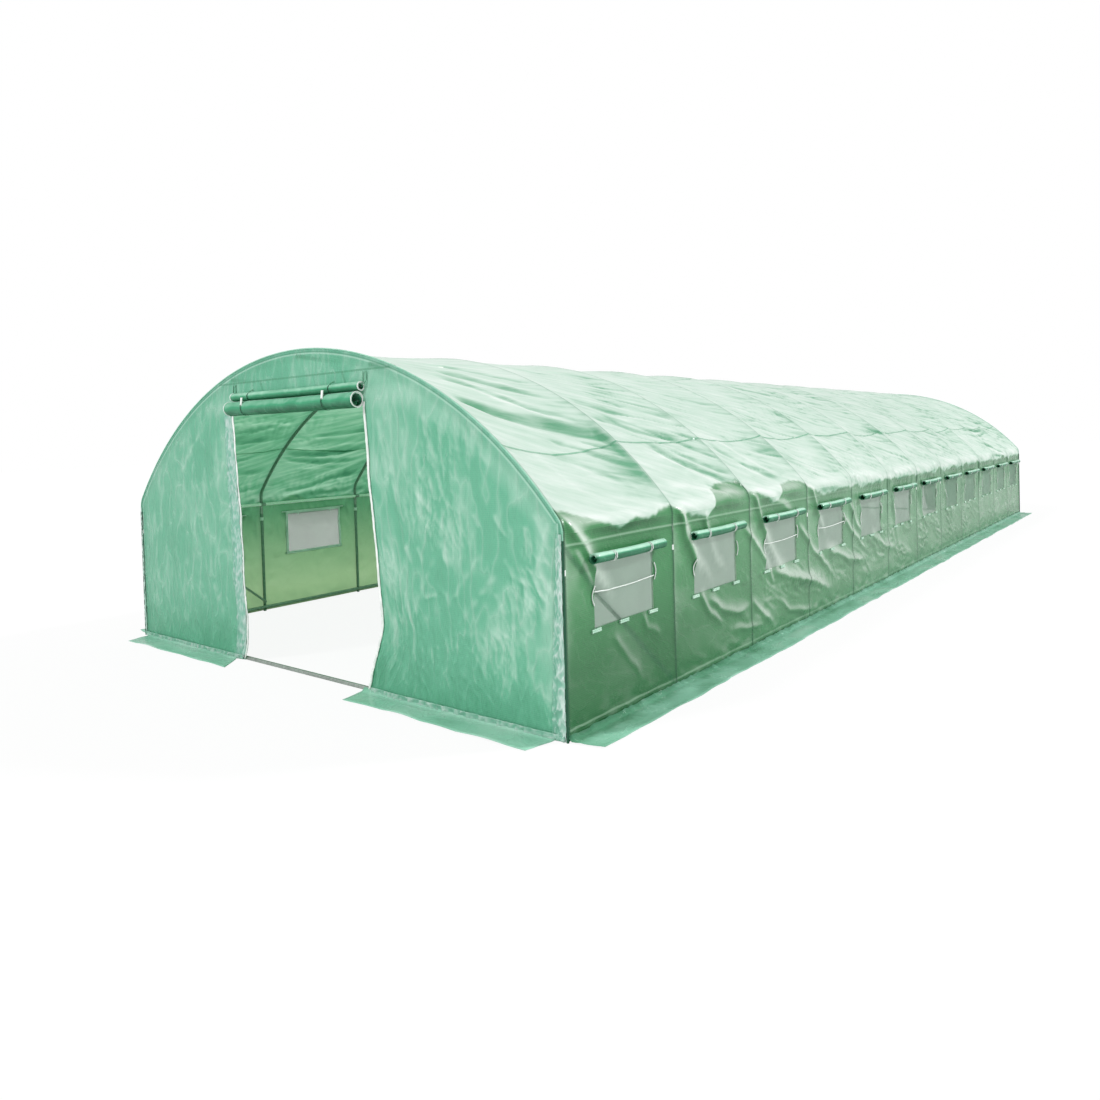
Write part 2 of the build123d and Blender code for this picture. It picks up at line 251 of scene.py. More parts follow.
def pulled_folds(run, drop, number):
    """Folds that run down and away from the point where each bend pulls the film."""
    distance = np.hypot(run, drop) + 1e-6
    angle = np.arctan2(drop, run)
    slopes_reaches_widths = ((46, 0.6, 0.015), (60, 1.0, 0.020), (71, 0.8, 0.016), (82, 0.5, 0.013))
    total = 0
    for order, (slope, reach, width) in enumerate(slopes_reaches_widths):
        wander = 0.13 * np.sin(5.1 * number + 2.3 * order)
        wander = wander + 0.10 * noise(distance / 0.22, number + 5 * order, 53)
        away = distance * np.sin(angle - math.radians(slope) - wander) / (width * (0.7 + distance))
        strength = 0.65 + 0.35 * np.sin(3.7 * number + 1.9 * order)
        along = smooth(0.01, 0.10, distance) * (1 - smooth(0.5 * reach, reach, distance))
        total = np.maximum(total, strength * np.exp(0.6 - np.sqrt(away**2 + 0.36)) * along)
    return total


# How far the film sags at mid-bay at each height up the skin: least where rails and purlins lie behind it
sag_line = [
    (0, 0.004), (0.35, 0.014), (wall_end, 0.014), (bend_end, 0.020), (seam_s, 0.034), (purlin_s, 0.016),
    ((purlin_s + crown_s) / 2, 0.022), (crown_s, 0.007),
]


def even_shape(up, t, number, top):
    """The sag between hoops, t of the way across a bay, and the film's ridge over each hoop."""
    gain = 0.85 + 0.35 * np.sin(number * 2.4 + 1.7)
    gain = gain + (1 - gain) * top
    sag = 4 * t * (1 - t) * np.interp(up, *zip(*sag_line)) * gain
    hoop_away = np.minimum(t, 1 - t) * bay
    ridge = 0.0045 * (np.exp(-hoop_away / 0.022) - 1) * smooth(0.1, 0.3, up) * (1 - 0.7 * top)
    return sag, ridge


def belly_fold(run, up, t, number, far):
    """The roof hangs over the bend in one slack belly a bay."""
    belly = 4 * t * (1 - t) * (0.85 + 0.30 * noise(run / 0.33, number * 0.37, 47))
    peak = wall_end + 0.018 - 0.014 * noise(run / 0.3, 3.0, 48) - 0.035 * far
    reach = np.where(up < peak, 0.042, 0.060 + 0.020 * far)
    return 0.028 * belly * np.exp(-(((up - peak) / reach) ** 2))


def laid_folds(run, up, free, lift):
    """The drawn folds, their lines shaken a little and lifted where the roof sags, and their painted shade
    and highlight.
    """
    shaken_run = run + 0.010 * noise(run / 0.12, up / 0.12, 15)
    shaken_up = up + 0.010 * noise(run / 0.12 + 40, up / 0.12, 16)
    shaken_up = shaken_up - lift * smooth(bend_end + 0.1, seam_s, up) * (run < half_length)
    folds = paint = 0.0
    for width, height, line in drawn_folds:
        fold = height * drawn_fold(shaken_run, shaken_up, width, height, line)
        folds = folds + (fold if height > 0 else fold * free)
        # Painted shade and highlight: crests paler, valleys darker
        paint = paint + fold * (9 if width > 0.05 else 14)
    return folds, paint


def roof_valleys(run, up, t, free, far):
    """Valleys that slant down the roof, more of them towards the far end, and the painted shade they add."""
    roof = smooth(wall_end + 0.02, bend_end + 0.06, up)
    along = run * 0.94 - up * 0.34
    across = up * 0.94 + run * 0.34
    calm = 1 - 0.8 * (1 - smooth(0.8, 1.5, run)) * roof
    long = creases(along, across, 0.80, 0.13, 23, 3.0) * scattered(-0.3, 0.3, run / 0.7, up / 0.5, 24) * calm
    fine = creases(along, across, 0.30, 0.060, 31, 3.0) * calm
    fine = fine * scattered(-0.2, 0.4, run / 0.45, up / 0.35, 32)
    cross = creases(across, along, 0.30, 0.09, 37, 3.0) * scattered(0.0, 0.5, run / 0.5, up / 0.4, 38)
    depth = 0.0095 * long + 0.0050 * fine * (0.30 + 0.70 * far) + 0.0055 * cross * far
    depth = depth - 0.0060 * noise(along / 0.5, across / 0.14, 33) * (0.4 + 0.6 * calm)
    # Painted shade below the seam before each next hoop, strongest in the first bay
    painted_shade_before_hoop = smooth(0.5, 1.0, t) * smooth(wall_end + 0.1, bend_end + 0.25, up)
    painted_shade_before_hoop = painted_shade_before_hoop * (1 - smooth(seam_s - 0.1, seam_s + 0.1, up))
    # Painted shade in the valleys
    dark = (0.18 * long + 0.16 * fine + 0.14 * cross * far) * roof
    dark = dark + (0.38 * (1 - smooth(0.95, 1.05, run)) + 0.10) * painted_shade_before_hoop
    return depth * roof * free, dark


def bend_folds(run, up, free, far):
    """Short tight folds over the bend, past the first bays."""
    over_bend = smooth(wall_end - 0.06, wall_end + 0.02, up)
    over_bend = over_bend * (1 - smooth(bend_end + 0.05, bend_end + 0.26, up))
    tight = creases(up + 0.35 * run, run, 0.20, 0.060, 41, 1.4) * scattered(-0.4, 0.3, run / 0.3, 7.0, 42)
    loose = 0.0050 * noise(run / 0.25, up / 0.25, 43) * (0.3 + 0.7 * far)
    return (0.0130 * tight * far + loose) * over_bend * free


def wall_folds(run, up, t, number, free):
    """Folds pulled down the walls, crumples under the windows, rumples above them and gathers at the foot."""
    wall = 1 - smooth(wall_end - 0.02, wall_end + 0.03, up)
    past_drawn = smooth(3.9, 4.8, run)
    drop = wall_end + 0.07 - up
    folds = 0.0150 * pulled_folds(t * bay, drop, number) * smooth(0.0, 0.05, drop) * past_drawn * wall
    under = smooth(0.08, 0.20, up) * (1 - smooth(0.44, 0.60, up))
    crumple = creases(run + 0.5 * up, up + 0.30 * run, 0.30, 0.085, 61, 1.4)
    crossing = 0.7 * creases(run - up, up + 0.2 * run, 0.14, 0.055, 67, 1.4)
    crumple = np.maximum(crumple, crossing) * scattered(-0.35, 0.25, run / 0.40, up / 0.22, 60)
    strength = past_drawn * (1 - 0.5 * smooth(7.5, 9.0, run))
    strength = strength + 0.50 * smooth(1.2, 2.2, run) * (1 - past_drawn)
    folds = folds + 0.0125 * crumple * under * strength * wall * free
    rumple = creases(up + 0.3 * run, run, 0.25, 0.075, 69, 1.4)
    folds = folds + 0.0080 * rumple * smooth(0.50, 0.70, up) * smooth(3.4, 5.0, run) * wall * free
    gathers = creases(up, run, 0.16, 0.035, 77, 1.2) * np.exp(-(((up - 0.64 + 0.115 * run) / 0.06) ** 2))
    folds = folds + 0.0050 * gathers * smooth(2.4, 2.8, run) * (1 - smooth(3.3, 3.9, run))
    near_foot = (1 - smooth(0.04, 0.16, up)) * smooth(0.0, 0.02, up)
    return folds + 0.0060 * noise(run / 0.11, up / 0.06, 71) * near_foot * free


def film_shape(y, s):
    """How far the film stands out from its even line, and the painted shade and highlight added to its folds.
    """
    side, up, run = from_end(y, s)
    place = np.clip(run / bay, 0, bay_count - 1e-6)
    number = np.floor(place)
    t = place - number
    free = smooth(0, 0.07, t) * smooth(0, 0.07, 1 - t)
    far = smooth(2.6, 4.4, run)
    top = smooth(crown_s - 0.30, crown_s - 0.02, up)
    sag, ridge = even_shape(up, t, number, top)
    laid, paint = laid_folds(run, up, free, 2.3 * sag)
    valleys, dark = roof_valleys(run, up, t, free, far)
    folds = belly_fold(run, up, t, number, far) + laid - valleys + bend_folds(run, up, free, far)
    folds = folds + wall_folds(run, up, t, number, free) + 0.0012 * noise(run / 0.14, up / 0.12, 83)
    # The drawn folds' painted shade and highlight, less the valleys' painted shade, with a random tone
    paint = paint - dark + 0.07 * noise(run / 0.35, up / 0.3, 73)

    # Both sides share one line along the ridge, and the ends lie on their hoops
    folds = folds + (0.0040 * noise(y / 0.35, y * 0.11, 97) * free - folds) * top
    ends = smooth(0, 0.03, np.minimum(run, 2 * half_length - run))
    return ridge - sag + folds * ends, paint


def skin_place(y, s, lift=0.0):
    """Points of the film at y and s, lift outside it, with the turn and side of the skin and its paint."""
    side, up, run = from_end(y, s)
    out, paint = film_shape(y, s)
    on_arch = up >= bend_end
    on_bend = (up >= wall_end) & ~on_arch
    turn = np.where(
        on_arch, bend_angle + (up - bend_end) / arch_skin, np.clip((up - wall_end) / bend_skin, 0, bend_angle)
    )
    x = np.where(on_bend, bend_x + bend_skin * np.cos(turn), wall_x)
    z = np.where(on_bend, bend_z + bend_skin * np.sin(turn), foot + up)
    x = np.where(on_arch, arch_skin * np.cos(turn), x) + (out + lift) * np.cos(turn)
    z = np.where(on_arch, arch_centre + arch_skin * np.sin(turn), z) + (out + lift) * np.sin(turn)
    return np.stack([side * x, y, z], axis=1), turn, side, paint


def point_normals(mesh):
    normals = np.empty(len(mesh.vertices) * 3)
    mesh.vertex_normals.foreach_get("vector", normals)
    return normals.reshape(-1, 3).T


def add_marks(mesh, **marks):
    for label, values in marks.items():
        mesh.attributes.new(label, "FLOAT", "POINT").data.foreach_set("value", values)


def skin_mesh(name, columns, rows, lift=0.0, hole=None, dip=None):
    """Part of the long cover, marked with the painted shade and highlight of its folds, and with where the
    pale roof's painted sky light lies.
    """
    made = []

    def place(y, s):
        s_dipped = s + dip(y, s) if dip else s
        points, turn, side, paint = skin_place(y, s_dipped, lift)
        up, run = from_end(y, s_dipped)[1:]
        made.extend((turn, side, paint, up - roof_edge(run)))
        return points, np.stack([y, s], axis=1)

    mesh = grid_mesh(name, columns, rows, place, hole)
    turn, side, paint, above = made
    x, y, z = point_normals(mesh)
    # Painted light: paler where a fold faces a fixed light from above and from the far end, darker where it
    # faces away
    painted_light_facing = 0.45 * y + 0.75 * (np.cos(turn) * z - side * np.sin(turn) * x)
    # sky marks the pale roof above its drawn lower edge, painted as sky light, and paler still higher up
    sky = smooth(-0.010, 0.012, above)
    high = smooth(seam_s + 0.3, crown_s - 0.2, np.minimum(above + wall_end, crown_s))
    shade = sky * (0.56 + 0.12 * high + 0.95 * painted_light_facing) + (1 - sky) * (0.42 + 1.25 * painted_light_facing) + paint
    # Painted highlight along the lower edge of the pale roof
    shade = shade + 0.10 * np.exp(-(((above - 0.016) / 0.012) ** 2)) * (turn < 0.6)
    add_marks(mesh, fold=np.clip(shade, 0, 1), sky=sky)
    return mesh


def grid_mesh(name, columns, rows, place, hole=None):
    """Mesh from a flat grid. place(u, v) gives its points, its UVs in metres and any marks."""
    wide, high = len(columns) - 1, len(rows) - 1
    bm = bmesh.new()
    bmesh.ops.create_grid(bm, x_segments=wide, y_segments=high, size=0.5)
    if hole:
        gone = []
        for face in bm.faces:
            middle = face.calc_center_median()
            i, j = int((middle.x + 0.5) * wide), int((middle.y + 0.5) * high)
            if hole((columns[i] + columns[i + 1]) / 2, (rows[j] + rows[j + 1]) / 2):
                gone.append(face)
        bmesh.ops.delete(bm, geom=gone, context="FACES")
    mesh = bpy.data.meshes.new(name)
    bm.to_mesh(mesh)
    bm.free()
    flat = np.empty(len(mesh.vertices) * 3)
    mesh.vertices.foreach_get("co", flat)
    flat = flat.reshape(-1, 3)
    i = np.rint((flat[:, 0] + 0.5) * wide).astype(int)
    j = np.rint((flat[:, 1] + 0.5) * high).astype(int)
    points, uv, *marks = place(np.asarray(columns)[i], np.asarray(rows)[j])
    mesh.vertices.foreach_set("co", points.ravel())
    corners = np.empty(len(mesh.loops), dtype=int)
    mesh.loops.foreach_get("vertex_index", corners)
    weave = mesh.uv_layers.new(name="weave")
    weave.data.foreach_set("uv", uv[corners].ravel())
    for named in marks:
        add_marks(mesh, **named)
    mesh.update()
    return mesh


def steps(*stops_and_counts):
    """Evenly divided stretches: first value, then pairs of a count and the next value."""
    values = [stops_and_counts[0]]
    for count, stop in zip(stops_and_counts[1::2], stops_and_counts[2::2]):
        values += list(np.linspace(values[-1], stop, count + 1)[1:])
    return values


def bay_columns(finest, coarsest):
    """Places along Y, closer together at the hoops and the window edges' own columns, coarser to the back."""
    columns = [-gable_y, -half_length]
    for number in range(bay_count):
        share = number / (bay_count - 1)
        count = finest + (coarsest - finest) * share
        start = -half_length + number * bay
        stops = [0, 0.012, window_near, window_far, bay - 0.012, bay]
        counts = [1] + [max(2, round(count * (b - a) / bay)) for a, b in zip(stops[1:], stops[2:4])]
        counts += [max(2, round(count * (stops[4] - stops[3]) / bay)), 1]
        for a, b, n in zip(stops, stops[1:], counts):
            columns += list(start + np.linspace(a, b, n + 1)[1:])
    columns.append(gable_y)
    return columns


def colour(red, green, blue):
    """Linear colour of a shade as a screen shows it, from 0 to 255."""
    shades = (shade / 255 for shade in (red, green, blue))
    return tuple(((c + 0.055) / 1.055) ** 2.4 if c > 0.04 else c / 12.92 for c in shades) + (1.0,)


def node_group(name, inputs, outputs):
    group = bpy.data.node_groups.new(name, "ShaderNodeTree")
    for label, kind, value in inputs:
        socket = group.interface.new_socket(name=label, in_out="INPUT", socket_type=kind)
        if value is not None:
            socket.default_value = value
    for label, kind in outputs:
        group.interface.new_socket(name=label, in_out="OUTPUT", socket_type=kind)
    tree = Tree(group)
    tree.start = tree.add("NodeGroupInput").outputs
    tree.end = tree.add("NodeGroupOutput").inputs
    return tree


class Tree:
    """A node tree with short ways to add and join nodes."""

    def __init__(self, tree):
        self.tree = tree

    def add(self, kind, **settings):
        node = self.tree.nodes.new(kind)
        for name, value in settings.items():
            setattr(node, name, value)
        return node

    def feed(self, source, target):
        if isinstance(source, bpy.types.NodeSocket):
            self.tree.links.new(source, target)
        else:
            target.default_value = source

    def math(self, operation, *values, clamp=False):
        node = self.add("ShaderNodeMath", operation=operation, use_clamp=clamp)
        for value, socket in zip(values, node.inputs):
            self.feed(value, socket)
        return node.outputs[0]

    def add_up(self, first, *others):
        for other in others:
            first = self.math("ADD", first, other)
        return first

    def times(self, first, *others):
        for other in others:
            first = self.math("MULTIPLY", first, other)
        return first

    def near(self, away, half_width, edge=1.45):
        """One within a half width of a line, and none a little further off."""
        return self.math("SUBTRACT", edge, self.math("DIVIDE", away, half_width), clamp=True)

    def split(self, vector):
        node = self.add("ShaderNodeSeparateXYZ")
        self.feed(vector, node.inputs[0])
        return node.outputs

    def place(self):
        return self.add("ShaderNodeTexCoord").outputs["Object"]

    def weave(self):
        return self.add("ShaderNodeUVMap", uv_map="weave").outputs[0]

    def mark(self, name):
        return self.add("ShaderNodeAttribute", attribute_name=name).outputs["Fac"]

    def mix_shaders(self, share, first, second):
        node = self.add("ShaderNodeMixShader")
        for value, socket in zip((share, first, second), node.inputs):
            self.feed(value, socket)
        return node.outputs[0]

    def glow(self, tint, normal=None):
        node = self.add("ShaderNodeBsdfTranslucent")
        self.feed(tint, node.inputs["Color"])
        if normal:
            self.feed(normal, node.inputs["Normal"])
        return node.outputs[0]

    def mix(self, share, first, second):
        node = self.add("ShaderNodeMix", data_type="RGBA")
        for value, socket in zip((share, first, second), (node.inputs[0], node.inputs[6], node.inputs[7])):
            self.feed(value, socket)
        return node.outputs[2]

    def noise(self, vector, scale, detail=2.0, rough=0.5):
        node = self.add("ShaderNodeTexNoise")
        for value, name in ((vector, "Vector"), (scale, "Scale"), (detail, "Detail"), (rough, "Roughness")):
            self.feed(value, node.inputs[name])
        return node.outputs["Fac"]

    def mapped(self, vector, scale, turn=0.0):
        node = self.add("ShaderNodeMapping", vector_type="TEXTURE")
        self.feed(vector, node.inputs["Vector"])
        node.inputs["Rotation"].default_value = (0, 0, turn)
        node.inputs["Scale"].default_value = [1 / value for value in scale]
        return node.outputs[0]

    def range(self, value, low, high, to_low=0.0, to_high=1.0):
        node = self.add("ShaderNodeMapRange")
        for item, socket in zip((value, low, high, to_low, to_high), node.inputs):
            self.feed(item, socket)
        return node.outputs[0]

    def group(self, other, **values):
        node = self.add("ShaderNodeGroup", node_tree=other.tree)
        for name, value in values.items():
            self.feed(value, node.inputs[name.replace("_", " ").capitalize()])
        return node.outputs

    def bump(self, height, strength, distance, normal=None):
        node = self.add("ShaderNodeBump")
        node.inputs["Strength"].default_value = strength
        node.inputs["Distance"].default_value = distance
        self.feed(height, node.inputs["Height"])
        if normal:
            self.feed(normal, node.inputs["Normal"])
        return node.outputs[0]


def scrim_group():
    """The woven scrim inside the film: fine crossed threads, the ones across the cloth stronger."""
    tree = node_group(
        "Scrim threads",
        [("Vector", "NodeSocketVector", None), ("Pitch", "NodeSocketFloat", 0.01)],
        [("Threads", "NodeSocketFloat")],
    )
    parts = tree.split(tree.start["Vector"])
    lines = []
    for axis, weight in ((0, 0.55), (1, 1.0)):
        turns = tree.math("DIVIDE", parts[axis], tree.start["Pitch"])
        away = tree.math("PINGPONG", turns, 0.5)
        thread = tree.math("SUBTRACT", 1.0, tree.math("MULTIPLY", away, 3.2), clamp=True)
        lines.append(tree.math("MULTIPLY", thread, weight))
    tree.feed(tree.math("MAXIMUM", *lines), tree.end["Threads"])
    return tree


def crumple_group():
    """Small creases of a film that has been folded away: thin raised lines at two sizes."""
    tree = node_group(
        "Film creases",
        [("Vector", "NodeSocketVector", None), ("Scale", "NodeSocketFloat", 9.0)],
        [("Height", "NodeSocketFloat"), ("Ridges", "NodeSocketFloat")],
    )
    warp = tree.noise(tree.start["Vector"], 2.2)
    bent = tree.add("ShaderNodeVectorMath", operation="ADD")
    tree.feed(tree.start["Vector"], bent.inputs[0])
    tree.feed(tree.math("MULTIPLY", warp, 0.22), bent.inputs[1])
    ridges = []
    for factor, detail in ((1.0, 1.0), (2.6, 2.0)):
        grain = tree.noise(bent.outputs[0], tree.math("MULTIPLY", tree.start["Scale"], factor), detail)
        away = tree.math("ABSOLUTE", tree.math("SUBTRACT", grain, 0.5))
        ridge = tree.math("SUBTRACT", 1.0, tree.math("MULTIPLY", away, 9.0), clamp=True)
        ridges.append(tree.math("MULTIPLY", ridge, ridge))
    both = tree.math("ADD", ridges[0], tree.math("MULTIPLY", ridges[1], 0.5))
    tree.feed(both, tree.end["Height"])
    tree.feed(ridges[0], tree.end["Ridges"])
    return tree


def line_group(name, half_width, *inputs):
    """Start of a group that says where something lies close behind the film."""
    first = ("Vector", "NodeSocketVector", None)
    last = ("Half width", "NodeSocketFloat", half_width)
    return node_group(name, [first, *inputs, last], [("Line", "NodeSocketFloat")])


def hoop_line_group():
    """Each hoop, at its place along Y."""
    tree = line_group("Hoops behind", 0.012)
    away = tree.math("PINGPONG", tree.split(tree.start["Vector"])[1], bay / 2)
    tree.feed(tree.near(away, tree.start["Half width"]), tree.end["Line"])
    return tree


def level_line_group():
    """A level tube, at its height."""
    tree = line_group("Level tube behind", 0.01, ("Level", "NodeSocketFloat", 0.9))
    height = tree.split(tree.start["Vector"])[2]
    away = tree.math("ABSOLUTE", tree.math("SUBTRACT", height, tree.start["Level"]))
    tree.feed(tree.near(away, tree.start["Half width"]), tree.end["Line"])
    return tree


def hoop_band_group():
    """A band along the end hoop, at a distance inside or outside its centre line."""
    tree = line_group("Band along the end hoop", 0.01, ("Inside", "NodeSocketFloat", 0.0))
    x, y, z = tree.split(tree.start["Vector"])
    rise = tree.math("SUBTRACT", z, arch_centre)
    reach = tree.math("SQRT", tree.math("ADD", tree.times(x, x), tree.times(rise, rise)))
    from_arch = tree.math("SUBTRACT", arch_radius, reach)
    from_leg = tree.math("SUBTRACT", half_width, tree.math("ABSOLUTE", x))
    above = tree.math("GREATER_THAN", z, bend_z + 0.05)
    below = tree.math("SUBTRACT", 1.0, above)
    inside = tree.math("ADD", tree.times(above, from_arch), tree.times(below, from_leg))
    away = tree.math("ABSOLUTE", tree.math("SUBTRACT", inside, tree.start["Inside"]))
    tree.feed(tree.near(away, tree.start["Half width"]), tree.end["Line"])
    return tree


def brace_group():
    """An end brace, slanting down from the end hoop across the first bay."""
    tree = line_group("Brace behind", 0.015)
    x, y, z = tree.split(tree.start["Vector"])
    in_from_end = tree.math("SUBTRACT", half_length, tree.math("ABSOLUTE", y))
    slope = brace_drop / bay
    above = tree.math("ADD", tree.math("SUBTRACT", z, brace_top), tree.times(in_from_end, slope))
    away = tree.math("ABSOLUTE", tree.times(above, 1 / math.hypot(1, slope)))
    line = tree.near(away, tree.start["Half width"], 1.4)
    tree.feed(tree.times(line, tree.math("LESS_THAN", in_from_end, bay - 0.02)), tree.end["Line"])
    return tree


def short_line_group():
    """A short straight shape close behind the end film, from one point to another, fading along its way."""
    tree = line_group(
        "Short line behind", 0.01, ("From", "NodeSocketVector", None), ("Way", "NodeSocketVector", None),
        ("Fade", "NodeSocketFloat", 0.7),
    )

    def vector_math(operation, *values):
        node = tree.add("ShaderNodeVectorMath", operation=operation)
        for value, socket in zip(values, node.inputs):
            tree.feed(value, socket)
        return node.outputs

    way = tree.start["Way"]
    start = vector_math("SUBTRACT", tree.start["Vector"], tree.start["From"])["Vector"]
    along = vector_math("DOT_PRODUCT", start, way)["Value"]
    share = tree.math("DIVIDE", along, vector_math("DOT_PRODUCT", way, way)["Value"], clamp=True)
    scaled = tree.add("ShaderNodeVectorMath", operation="SCALE")
    tree.feed(way, scaled.inputs[0])
    tree.feed(share, scaled.inputs["Scale"])
    away = vector_math("DISTANCE", start, scaled.outputs[0])["Value"]
    line = tree.near(away, tree.start["Half width"], 1.5)
    left = tree.math("SUBTRACT", 1.0, tree.times(share, tree.start["Fade"]))
    tree.feed(tree.times(line, left), tree.end["Line"])
    return tree


# Height of a brace at its end hoop, and how far it drops across the bay
brace_top, brace_drop = 0.905, 0.88
scrim = scrim_group()
film_creases = crumple_group()
hoop_lines = hoop_line_group()
level_lines = level_line_group()
hoop_bands = hoop_band_group()
brace_lines = brace_group()
short_lines = short_line_group()


def material_tree(name):
    material = bpy.data.materials.new(name)
    material.use_nodes = True
    material.node_tree.nodes.clear()
    tree = Tree(material.node_tree)
    tree.material = material
    return tree


def finish_material(tree, shader):
    output = tree.add("ShaderNodeOutputMaterial")
    tree.feed(shader, output.inputs["Surface"])
    return tree.material


def principled(tree, base, roughness, normal=None, **plain):
    shader = tree.add("ShaderNodeBsdfPrincipled")
    tree.feed(base, shader.inputs["Base Color"])
    tree.feed(roughness, shader.inputs["Roughness"])
    if normal:
        tree.feed(normal, shader.inputs["Normal"])
    for name, value in plain.items():
        shader.inputs[name.replace("_", " ")].default_value = value
    return shader.outputs[0]


def shade_ramp(tree, level, deep, body, pale):
    ramp = tree.add("ShaderNodeValToRGB")
    tree.feed(level, ramp.inputs[0])
    stops = ramp.color_ramp.elements
    stops[0].color = deep
    stops[1].color = pale
    stops.new(0.45).color = body
    return ramp.outputs[0]


def film_material(
    name, deep, body, pale, lit, through=0.3, crease_scale=8.0, crease_depth=0.0015, crease_shade=0.07,
    rough=0.32, thread=0.35, stretch=(1, 1, 1), turn=0.0, inside=None, upper=None, lines=None,
):
    """Sewn translucent film: painted shade in its valleys, painted highlights on its folds, with scrim
    threads and small creases.

    inside holds the shades of its inner face, upper those of the part that faces the sky, painted pale as sky
    light, outside and inside, and lines adds the painted shade and highlight of what lies close behind the
    film.
    """
    tree = material_tree(name)
    uv, place = tree.weave(), tree.place()
    small = tree.group(film_creases, vector=tree.mapped(uv, stretch, turn), scale=crease_scale)
    cloud = tree.range(tree.noise(uv, 1.7, 3.0), 0.35, 0.65, -0.05, 0.05)
    # Fold mark's painted shade and highlight, small crease ridges painted paler as highlights, and a random
    # tone
    level = tree.add_up(tree.mark("fold"), tree.times(small["Ridges"], crease_shade), cloud)
    threads = tree.group(scrim, vector=uv, pitch=0.010)["Threads"]
    shade = shade_ramp(tree, level, deep, body, pale)
    if lines:
        shade = lines(tree, place, shade)
    glow_shade = tree.mix(0.5, shade, lit)
    gloss = tree.range(small["Ridges"], 0.0, 1.0, rough, rough * 0.7)
    gleam = tree.range(level, 0.45, 0.85, 0.06, 0.60)
    if upper:
        sky = tree.mark("sky")
        # On the pale roof part: fine streaks painted pale and dark as the shade of fine folds, and the hoops
        # as painted lines of shade
        streaks = tree.noise(tree.mapped(uv, (3.0, 24.0, 1), -0.35), 1.0, 3.0)
        sky_level = tree.math("ADD", level, tree.range(streaks, 0.30, 0.70, -0.15, 0.15))
        line = tree.times(tree.group(hoop_lines, vector=place, half_width=tube_radius * 0.5)["Line"], 0.45)
        sky_shade = tree.mix(line, shade_ramp(tree, sky_level, *upper[0]), upper[0][0])
        shade = tree.mix(sky, shade, sky_shade)
        glow_shade = tree.mix(tree.range(sky, 0.0, 1.0, 0.5, 0.2), shade, lit)
        gloss = tree.math("ADD", gloss, tree.times(sky, 0.32))
        gleam = tree.times(gleam, tree.range(sky, 0.0, 1.0, 1.0, 0.15))
    if inside:
        back = tree.add("ShaderNodeNewGeometry").outputs["Backfacing"]
        lining = inside(tree, place, level) if callable(inside) else shade_ramp(tree, level, *inside)
        if upper:
            lining = tree.mix(sky, lining, shade_ramp(tree, sky_level, *upper[1]))
        shade = tree.mix(back, shade, lining)
        glow_shade = tree.mix(back, glow_shade, lining)
        through = tree.math("ADD", through, tree.times(back, 0.15))
    shade = tree.mix(tree.times(threads, thread * 0.14), shade, pale)
    normal = tree.bump(threads, thread, 0.0006, tree.bump(small["Height"], 0.9, crease_depth))
    surface = principled(tree, shade, gloss, normal, Specular_IOR_Level=0.3, Coat_Roughness=0.14)
    tree.feed(gleam, surface.node.inputs["Coat Weight"])
    return finish_material(tree, tree.mix_shaders(through, surface, tree.glow(glow_shade, normal)))


def tube_material(name, tint, metallic, roughness):
    """Zinc-coated tube: spangle, fine drawn lines and dull patches."""
    tree = material_tree(name)
    place = tree.place()
    bright = tuple(min(1.0, c * 1.35) for c in tint[:3]) + (1.0,)
    base = tree.mix(tree.range(tree.noise(place, 60.0, 3.0), 0.35, 0.7), tint, bright)
    drawn = tree.noise(tree.mapped(place, (300, 20, 300)), 1.0, 2.0)
    gloss = tree.range(drawn, 0.3, 0.7, roughness - 0.08, roughness + 0.12)
    surface = principled(tree, base, gloss, tree.bump(drawn, 0.25, 0.0004), Metallic=metallic)
    return finish_material(tree, surface)


def tape_material(name, tint, shade, rib=0.0025):
    """Narrow woven tape: ribs across it and soft dirt in the weave."""
    tree = material_tree(name)
    place = tree.place()
    ribs = tree.noise(place, 1 / rib / 6, 1.0)
    base = tree.mix(tree.range(tree.noise(place, 14.0, 2.0), 0.3, 0.7), shade, tint)
    surface = principled(tree, base, 0.55, tree.bump(ribs, 0.35, 0.0008), Sheen_Weight=0.1)
    return finish_material(tree, surface)


def mesh_material(name, tint, thread):
    """Insect mesh: fine square threads with open holes that let some of the inside show, its folds painted
    pale on their crests and dark in their hollows.
    """
    tree = material_tree(name)
    uv, fold = tree.weave(), tree.mark("fold")
    threads = tree.group(scrim, vector=uv, pitch=0.0045)["Threads"]
    brace = tree.group(brace_lines, vector=tree.place(), half_width=0.015)["Line"]
    base = tree.mix(tree.range(tree.noise(uv, 6.0, 3.0), 0.3, 0.7), thread, tint)
    base = tree.mix(tree.times(threads, 0.4), base, thread)
    # Painted highlight on the folds' crests, painted shade in their hollows, and painted shade of the brace
    # behind
    base = tree.mix(tree.range(fold, 0.45, 0.85, 0.0, 0.8), base, colour(214, 226, 216))
    base = tree.mix(tree.range(fold, 0.36, 0.10, 0.0, 0.5), base, colour(96, 124, 106))
    base = tree.mix(tree.times(brace, 0.50), base, colour(76, 106, 90))
    surface = principled(tree, base, 0.6, tree.bump(threads, 0.5, 0.0006))
    glow = tree.glow(tree.mix(0.7, base, colour(236, 242, 236)))
    cloth = tree.mix_shaders(0.4, surface, glow)
    holes = tree.add("ShaderNodeBsdfTransparent").outputs[0]
    return finish_material(tree, tree.mix_shaders(tree.range(threads, 0.0, 1.0, 0.80, 0.97), holes, cloth))


wall_deep, wall_body, wall_pale = colour(36, 92, 54), colour(76, 144, 94), colour(224, 238, 226)
rail_shade = colour(168, 204, 176)


def middle_height(node):
    low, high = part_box(node)
    return (low.z + high.z) / 2


eave_rail_z = middle_height("eave_rails")
base_rail_z = middle_height("base_rails")
header_z = middle_height("door_headers")
purlin_z = middle_height("side_purlins")
ridge_z = middle_height("ridge_purlin")


